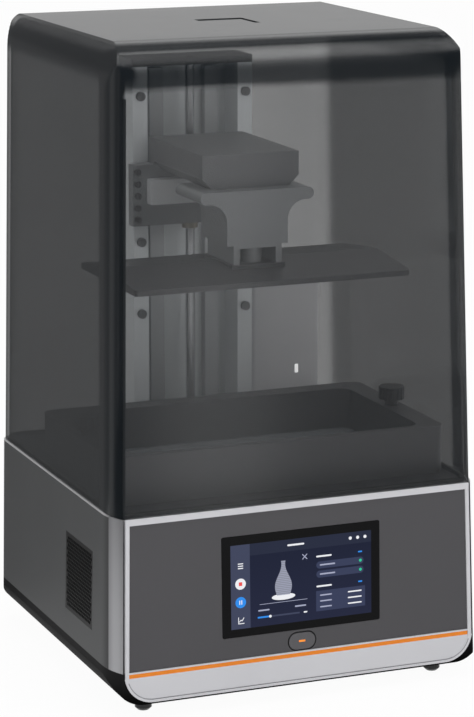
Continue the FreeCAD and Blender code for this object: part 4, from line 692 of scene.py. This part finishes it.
def releaseFilm():
    # thin clear film with faint tension lines
    paint = Paint("releaseFilm")
    lines = paint.noise(film["lines"], stretch=film["pull"])
    return paint.close(paint.surface(Base_Color=tone(film["colour"]), IOR=1.38, Alpha=0.22,
                                     Roughness=film["rough"] + lines * film["lineRough"],
                                     Normal=paint.bump(lines, film["depth"], film["bump"])))


board = {"mask": "#0f3a24", "track": "#1b5a38", "pad": "#b9a066", "wander": 60.0, "stray": 6.0,
         "acrossPitch": 3.2, "acrossWide": 0.7, "alongPitch": 4.6, "alongWide": 0.6,
         "pads": 210.0, "padSize": 0.13, "padMetal": 0.8,
         "rough": 0.42, "trackGloss": 0.08, "depth": 0.00004, "bump": 0.6}


def boardGreen():
    # solder mask with straight tracks and plated pads
    give = board
    paint = Paint("boardGreen")
    x, y = paint.place()[:2]
    stray = paint.noise(give["wander"], 1.0) * give["stray"]
    across = ((x + stray) % give["acrossPitch"]) < give["acrossWide"]
    along = ((y + stray) % give["alongPitch"]) < give["alongWide"]
    track = across | along
    pad = paint.cells(give["pads"], feature="F1", distance="CHEBYCHEV") < give["padSize"]
    colour = paint.mix(pad, paint.mix(track, tone(give["mask"]), tone(give["track"])), tone(give["pad"]))
    return paint.close(paint.surface(Base_Color=colour, Metallic=pad * give["padMetal"],
                                     Roughness=give["rough"] - track * give["trackGloss"],
                                     Normal=paint.bump(track, give["depth"], give["bump"])))


# wall colour, and the near-black painted shade in the pits
foam = {"wall": "#3a3a3b", "pitShade": "#0c0c0c", "cells": 520.0, "fall": 5.0, "depth": 0.001, "bump": 0.9}


def filterFoam():
    # open-cell carbon foam: paler walls, with painted shade darkening the pits between them
    paint = Paint("filterFoam")
    inward = paint.cells(foam["cells"], feature="DISTANCE_TO_EDGE")
    colour = paint.mix((inward * foam["fall"]) & 1.0, tone(foam["wall"]), tone(foam["pitShade"]))
    return paint.close(paint.surface(Base_Color=colour, Roughness=0.92,
                                     Normal=paint.bump(inward, foam["depth"], foam["bump"])))


# colour and strength of the lit marks, and the spots in their diffuser
glows = {"lampWhite": ("#ffffff", 1.2), "markOrange": ("#ee861a", 0.5), "spots": 120.0, "dull": 0.9}


def glowing(name):
    # lit diffuser, very slightly cloudy
    code, strength = glows[name]
    paint = Paint(name)
    soft = paint.noise(glows["spots"])
    tint = paint.mix(soft, shaded(tone(code), glows["dull"]), tone(code))
    return paint.close(paint.surface(Base_Color=tone(code), Roughness=0.3, Emission_Color=tint,
                                     Emission_Strength=strength))


dress(lcdGlass(), "exposure_lcd")
dress(lensPlate(), "lens_plate")
dress(releaseFilm(), "release_film")
dress(boardGreen(), "main_board")
dress(ledBoard(), "led_board")
dress(filterFoam(), "purifier_filter")
dress(glowing("lampWhite"), "purifier_lamp")
dress(glowing("markOrange"), "button_mark")
print("special finishes on")

meshing = {"merge": 2e-6, "crease": 24.0}   # metres, degrees


def linked(name, data):
    # a mesh, lamp or camera as an object in the scene
    made = bpy.data.objects.new(name, data)
    scene.collection.objects.link(made)
    return made


def gridMesh(name, points, material):
    # grids of points (rows, columns, 3), one or several, as quads; columns join up, end rows close flat,
    # and points that fall together become one
    rows, columns = points.shape[-3:-1]
    index = np.arange(points.size // 3).reshape(-1, rows, columns)
    after = np.roll(index, -1, axis=2)
    quads = np.stack([index[:, :-1], after[:, :-1], after[:, 1:], index[:, 1:]], axis=-1).reshape(-1, 4)
    faces = quads.tolist() + index[:, 0, ::-1].tolist() + index[:, -1].tolist()
    mesh = bpy.data.meshes.new(name)
    mesh.from_pydata(points.reshape(-1, 3).tolist(), [], faces)
    shape = bmesh.new()
    shape.from_mesh(mesh)
    bmesh.ops.remove_doubles(shape, verts=shape.verts, dist=meshing["merge"])
    bmesh.ops.dissolve_degenerate(shape, edges=shape.edges, dist=meshing["merge"])
    bmesh.ops.recalc_face_normals(shape, faces=shape.faces)
    shape.to_mesh(mesh)
    shape.free()
    mesh.polygons.foreach_set("use_smooth", np.ones(len(mesh.polygons), bool))
    mesh.set_sharp_from_angle(angle=math.radians(meshing["crease"]))
    mesh.materials.append(material)
    mesh.update()
    return linked(name, mesh)


# rows up the wall and round the brow, columns round a ring, and how far in each ring of the top lies
hoodGrid = {"wall": 10, "wallEnd": 24.0, "near": 11, "nearSpan": (22.0, 2.0), "brow": 46,
            "across": 24, "corner": 25, "side": 26, "rear": 15,
            "lid": (0.3, 0.6, 0.9, 1.0), "dip": (0.999, 0.5, 0.1)}


def hoodSkin(inset):
    # the hood's outer or inner skin as rings from the rim to the middle of the top.
    # a ring at height z: flat front, arc from the crease to the side, straight side, round rear corner,
    # flat back; its x stops at the shoulder's arc, its y at the brow's arc in front and the crown's behind
    give = hood
    deeper = inset - give["inset"]
    top = give["top"] - deeper
    level = give["top"] - give["brow"]
    arc = give["brow"] - deeper
    start, end = hoodGrid["nearSpan"]
    z = np.concatenate([
        np.linspace(give["joint"], level - hoodGrid["wallEnd"], hoodGrid["wall"]),
        np.linspace(level - start, level - end, hoodGrid["near"]),
        level + arc * np.sin(np.radians(np.linspace(0, 90, hoodGrid["brow"])))])[:, None]
    half = halfAt(z)
    face = faceAt(z)
    # front and back limits of each ring
    browMiddle = faceAt(level) + give["inset"] + give["brow"]
    rolled = browMiddle - np.sqrt(np.clip(arc ** 2 - np.clip(z - level, 0, arc) ** 2, 0, None))
    front = np.where(z > level, np.maximum(face + inset, rolled), face + inset)
    crownLevel = give["top"] - give["crown"]
    crownArc = give["crown"] - deeper
    crownMiddle = give["back"] - give["inset"] - give["crown"]
    drop = np.clip(z - crownLevel, 0, crownArc)
    fallen = crownMiddle + np.sqrt(np.clip(crownArc ** 2 - drop ** 2, 0, None))
    back = np.where(z > crownLevel, fallen, give["back"] - inset)
    # side limit of each ring
    shoulderLevel = give["top"] - give["rise"]
    shoulderMiddle = halfAt(shoulderLevel) - give["inset"] - give["shoulder"]
    shoulderArc = give["shoulder"] - deeper
    limit = shoulderMiddle + np.sqrt(shoulderArc ** 2 - np.clip(z - shoulderLevel, 0, None) ** 2)
    limit = np.where(z > shoulderLevel, limit, half)
    # the right half of each ring, from the middle of the front to the middle of the back
    run = np.sqrt(2 * give["corner"] * give["step"] - give["step"] ** 2)
    bow = give["corner"] - inset
    creaseTurn = np.arcsin(np.clip((face + run - front) / bow, 0, 1))
    cornerTurn = creaseTurn * (1 - np.linspace(0, 1, hoodGrid["corner"])[None, :])
    cornerX = half - give["corner"] + bow * np.cos(cornerTurn)
    cornerY = np.maximum(face + run - bow * np.sin(cornerTurn), front)
    rear = give["rear"] - inset
    swing = np.linspace(0, np.pi / 2, hoodGrid["rear"])[None, :]
    rearX = half - give["rear"] + rear * np.cos(swing)
    rearY = np.broadcast_to(give["back"] - give["rear"] + rear * np.sin(swing), rearX.shape)
    side = np.linspace(0, 1, hoodGrid["side"])[None, 1:-1]
    sideY = cornerY[:, -1:] * (1 - side) + rearY[:, :1] * side
    across = np.linspace(0, 1, hoodGrid["across"])[None, :-1]
    x = np.concatenate([cornerX[:, :1] * across, cornerX, np.broadcast_to(half - inset, sideY.shape), rearX,
                        rearX[:, -1:] * (1 - across[:, 1:])], axis=1)
    y = np.concatenate([np.broadcast_to(front, (len(z), across.size)), cornerY, sideY, rearY,
                        np.broadcast_to(rearY[:, -1:], (len(z), across.size - 1))], axis=1)
    x = np.minimum(x, limit)
    y = np.clip(y, front, back)
    right = np.stack([x, y, np.broadcast_to(z, x.shape)], axis=-1)
    left = right[:, :0:-1] * np.array([-1.0, 1.0, 1.0])
    ring = np.concatenate([right, left], axis=1)
    # over the top the rings close in to the recess, drop by its depth and run to its middle
    px, py, size, depth = give["recess"]
    middle = np.array([px, py])
    off = ring[-1][:, :2] - middle
    square = off / np.abs(off).max(axis=1, keepdims=True) * size
    sunk = top - (depth if inset == give["inset"] else 0.0)
    cap = [np.column_stack([middle + off * (1 - share) + square * share, np.full(len(off), top)])
           for share in hoodGrid["lid"]]
    cap += [np.column_stack([middle + square * share, np.full(len(off), sunk)]) for share in hoodGrid["dip"]]
    return np.concatenate([ring, np.array(cap)])


def hoodShape():
    # outer skin from the middle of the top down to the rim, then the inner skin back up
    outer = hoodSkin(hood["inset"])[::-1]
    inner = hoodSkin(hood["inset"] + hood["wall"])
    return gridMesh("hoodSkin", np.concatenate([outer, inner]) / perMetre, hoodSmoked)


skin = hoodShape()
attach(skin, "hood")
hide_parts("hood_shell")
print("hood shaped")

# metres; flat widens the wave's flat tops, and taper is the plain run-out at both ends
thread = {"outer": 0.00398, "depth": 0.0008, "lead": 0.004, "taper": 0.0015,
          "starts": 2, "flat": 1.3, "around": 32, "stepsPerLead": 20}


def threadedScrew():
    # radius over angle and height: outer radius less the depth times a flat-topped wave
    # of (height / lead - angle)
    low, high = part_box("lead_screw")
    middle = [(low[0] + high[0]) / 2, (low[1] + high[1]) / 2]
    rows = int((high[2] - low[2]) / thread["lead"] * thread["stepsPerLead"]) + 1
    height = np.linspace(low[2], high[2], rows)[:, None]
    angle = np.linspace(0, 2 * np.pi, thread["around"], endpoint=False)[None, :]
    wave = np.sin(thread["starts"] * (2 * np.pi * height / thread["lead"] - angle))
    dip = np.clip(0.5 - thread["flat"] * wave, 0, 1)
    ends = np.minimum(height - low[2], high[2] - height)
    radius = thread["outer"] - thread["depth"] * np.maximum(dip, np.clip(1 - ends / thread["taper"], 0, 1))
    points = np.stack(np.broadcast_arrays(
        middle[0] + radius * np.cos(angle), middle[1] + radius * np.sin(angle), height), axis=-1)
    return gridMesh("leadScrewThread", points, finishes["groundSteel"])


screw = threadedScrew()
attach(screw, "lead_screw")
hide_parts("lead_screw")
print("lead screw threaded")

heads = {
    # places on the rear panel, then the profile from rim to socket: radius, height, six-sided share
    "across": (-107.0, 0.0, 107.0), "levels": (51.0, 133.0), "around": 48,
    "profile": [(3.0, 0.0, 0), (3.0, 0.5, 0), (2.8, 0.95, 0), (2.4, 1.25, 0), (1.9, 1.4, 0),
                (1.5, 1.4, 1), (1.5, 0.6, 1), (0.4, 0.5, 1)],
}


def rearScrews():
    # each head turns its profile round an axis along y; the socket's radius follows a hexagon
    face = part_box("rear_panel")[1][1] * perMetre
    places = np.array([(x, z) for x in heads["across"] for z in heads["levels"]])
    radius, height, sixth = [row[None, :, None] for row in np.array(heads["profile"]).T]
    angle = np.linspace(0, 2 * np.pi, heads["around"], endpoint=False)[None, None, :]
    hexagon = np.cos(np.pi / 6) / np.cos(angle % (np.pi / 3) - np.pi / 6)
    wide = radius * (1 - sixth + sixth * hexagon)
    points = np.stack(np.broadcast_arrays(
        places[:, 0, None, None] + wide * np.cos(angle), face + height,
        places[:, 1, None, None] + wide * np.sin(angle)), axis=-1)
    return gridMesh("rearScrews", points / perMetre, finishes["boltDark"])


screws = rearScrews()
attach(screws, "base")
print("rear screws set")

studio = {
    "seen": 1.0, "ambient": 0.55, "dark": 0.10,   # what the eye, matte skins and gloss get from the room
    # the wall behind, by how far a direction points back and up, and its dimmer foot
    "wallBack": (0.05, 0.5), "wallTop": (0.50, 0.70),
    "wallFoot": (0.30, 0.45), "wallLow": 0.55, "wallMore": 0.65,
    # the soft box above, by how close a direction comes to its own
    "box": (0.40, -0.05, 0.915), "boxEdge": (0.93, 0.99), "boxStrength": 2.2,
    "floor": "#f4f4f4", "floorGlow": 0.96, "floorReach": 30.0,   # metres
}


def studioWorld():
    # white behind the object for the eye, plain light for matte skins;
    # gloss sees a white wall behind, a soft box above and a dim room elsewhere
    give = studio
    paint = Paint("studioWorld", "ShaderNodeOutputWorld")
    way = paint.node("ShaderNodeTexCoord").outputs["Generated"]
    split = paint.node("ShaderNodeSeparateXYZ", None, {0: way})
    dx, dy, dz = [Val(paint, split.outputs[i]) for i in range(3)]
    foot = give["wallLow"] + paint.ease(dz, *give["wallFoot"]) * give["wallMore"]
    wall = paint.ease(dy, *give["wallBack"]) * (1.0 - paint.ease(dz, *give["wallTop"])) * foot
    bx, by, bz = give["box"]
    above = paint.ease(dx * bx + dy * by + dz * bz, *give["boxEdge"]) * give["boxStrength"]
    mirror = paint.light("ShaderNodeBackground", (wall | above) | give["dark"])
    seen = paint.light("ShaderNodeBackground", give["seen"])
    plain = paint.light("ShaderNodeBackground", give["ambient"])
    first = paint.either(paint.rays("Camera", "Transmission"), plain, seen)
    return paint.close(paint.either(paint.rays("Glossy"), first, mirror))


def floorPaint():
    # pale floor: mostly white to the eye, with the object's shadow left in
    paint = Paint("studioFloor")
    seen = paint.rays("Camera", "Glossy", "Transmission")
    matte = paint.node("ShaderNodeBsdfDiffuse", None, {"Color": tone(studio["floor"])}).outputs[0]
    glow = paint.light("ShaderNodeEmission", studio["seen"])
    return paint.close(paint.either(seen * studio["floorGlow"], matte, glow))


def flatPiece(name, corners, material):
    # one face with four corners, in metres
    mesh = bpy.data.meshes.new(name)
    mesh.from_pydata(corners, [], [(0, 1, 2, 3)])
    mesh.materials.append(material)
    return linked(name, mesh)


scene.world = studioWorld()
far = studio["floorReach"]
floorCorners = [(-far, -far, 0), (far, -far, 0), (far, far, 0), (-far, far, 0)]
floor = flatPiece("studioFloor", floorCorners, floorPaint())

cards = {
    # metres: a card stands from one point to the other between two heights, or lies flat; only gloss sees it
    "flagBack": {"from": (-1.20, 0.36), "to": (0.60, 0.36), "edges": (0.0, 0.50), "strength": 0.20},
    "flagLeft": {"from": (-1.25, 0.36), "to": (-1.25, -0.45), "edges": (0.0, 0.90), "strength": 0.10},
    "flagFloor": {"from": (-0.44, 0.36), "to": (-0.10, 0.36), "lying": 0.40, "strength": 0.10, "soft": True},
    "stripSide": {"from": (-0.566, 0.126), "to": (-0.458, 0.254), "edges": (0.0, 0.60), "strength": 0.50,
                  "soft": True},
    "flagSide": {"from": (-1.25, 0.0), "to": (-0.62, 0.0), "lying": 0.80, "strength": 0.06},
    "softStrip": {"from": (0.085, -0.75), "to": (0.265, -0.75), "edges": (0.0, 0.62), "strength": 2.4,
                  "soft": True},
    "flagShoulder": {"from": (-1.20, 0.355), "to": (-0.19, 0.355), "edges": (0.50, 0.68), "strength": 0.15},
}
cardLook = {"fade": (0.3, 1.0), "lift": 0.002}   # shares of half its length; metres above the floor


def cardPaint(name, give):
    # a soft card fades smoothly from its middle to its ends; any other is even
    paint = Paint(name)
    share = 1.0
    if give.get("soft"):
        x, y = paint.place()[:2]
        first, last = np.array(give["from"]) * perMetre, np.array(give["to"]) * perMetre
        half = float(np.linalg.norm(last - first) / 2)
        alongX, alongY = ((last - first) / (2 * half)).tolist()
        middleX, middleY = ((first + last) / 2).tolist()
        off = abs((x - middleX) * alongX + (y - middleY) * alongY) / half
        share = 1.0 - paint.ease(off, *cardLook["fade"])
    light = paint.light("ShaderNodeEmission", give["strength"])
    return paint.close(paint.either(share, paint.clear(), light))


for name, give in cards.items():
    (ax, ay), (bx, by) = give["from"], give["to"]
    if "lying" in give:
        deep, lift = give["lying"] / 2, cardLook["lift"]
        corners = [(ax, ay - deep, lift), (bx, by - deep, lift), (bx, by + deep, lift), (ax, ay + deep, lift)]
    else:
        low, high = give["edges"]
        corners = [(ax, ay, low), (bx, by, low), (bx, by, high), (ax, ay, high)]
    card = flatPiece(name, corners, cardPaint(name, give))
    card.visible_camera = False
    card.visible_diffuse = False
    card.visible_transmission = False
    card.visible_shadow = False

lamps = {
    # place, aim, width and height in metres, watts
    "overhead": ((0.0, -0.2, 2.2), (0.0, 0.0, 0.3), 1.6, 1.4, 16.0),
    "stripLeft": ((-1.5, -1.5, 1.0), (0.0, 0.0, 0.25), 0.5, 1.6, 7.0),
    "fillFront": ((0.9, -2.4, 1.3), (0.0, 0.0, 0.25), 1.4, 1.2, 9.0),
}

for name, (place, aim, width, height, watts) in lamps.items():
    lamp = bpy.data.lights.new(name, "AREA")
    lamp.shape = "RECTANGLE"
    lamp.size = width
    lamp.size_y = height
    lamp.energy = watts
    made = linked(name, lamp)
    made.location = place
    # its -Z turns to the aim
    made.rotation_euler = (Vector(aim) - Vector(place)).to_track_quat("-Z", "Y").to_euler()
    made.visible_glossy = False

# place and far in metres, yaw and pitch in degrees, lens and sensor in millimetres
camera = {"place": (-0.8230, -2.0219, 0.7268), "yaw": 22.2418, "pitch": 12.6591,
          "lens": 141.9, "sensor": 36.0, "far": 100.0}
lens = bpy.data.cameras.new("photoCamera")
lens.sensor_fit = "VERTICAL"
lens.sensor_height = camera["sensor"]
lens.lens = camera["lens"]
lens.clip_end = camera["far"]
eye = linked("photoCamera", lens)
eye.location = camera["place"]
eye.rotation_euler = (math.radians(90 - camera["pitch"]), 0.0, -math.radians(camera["yaw"]))
scene.camera = eye
print("studio set")
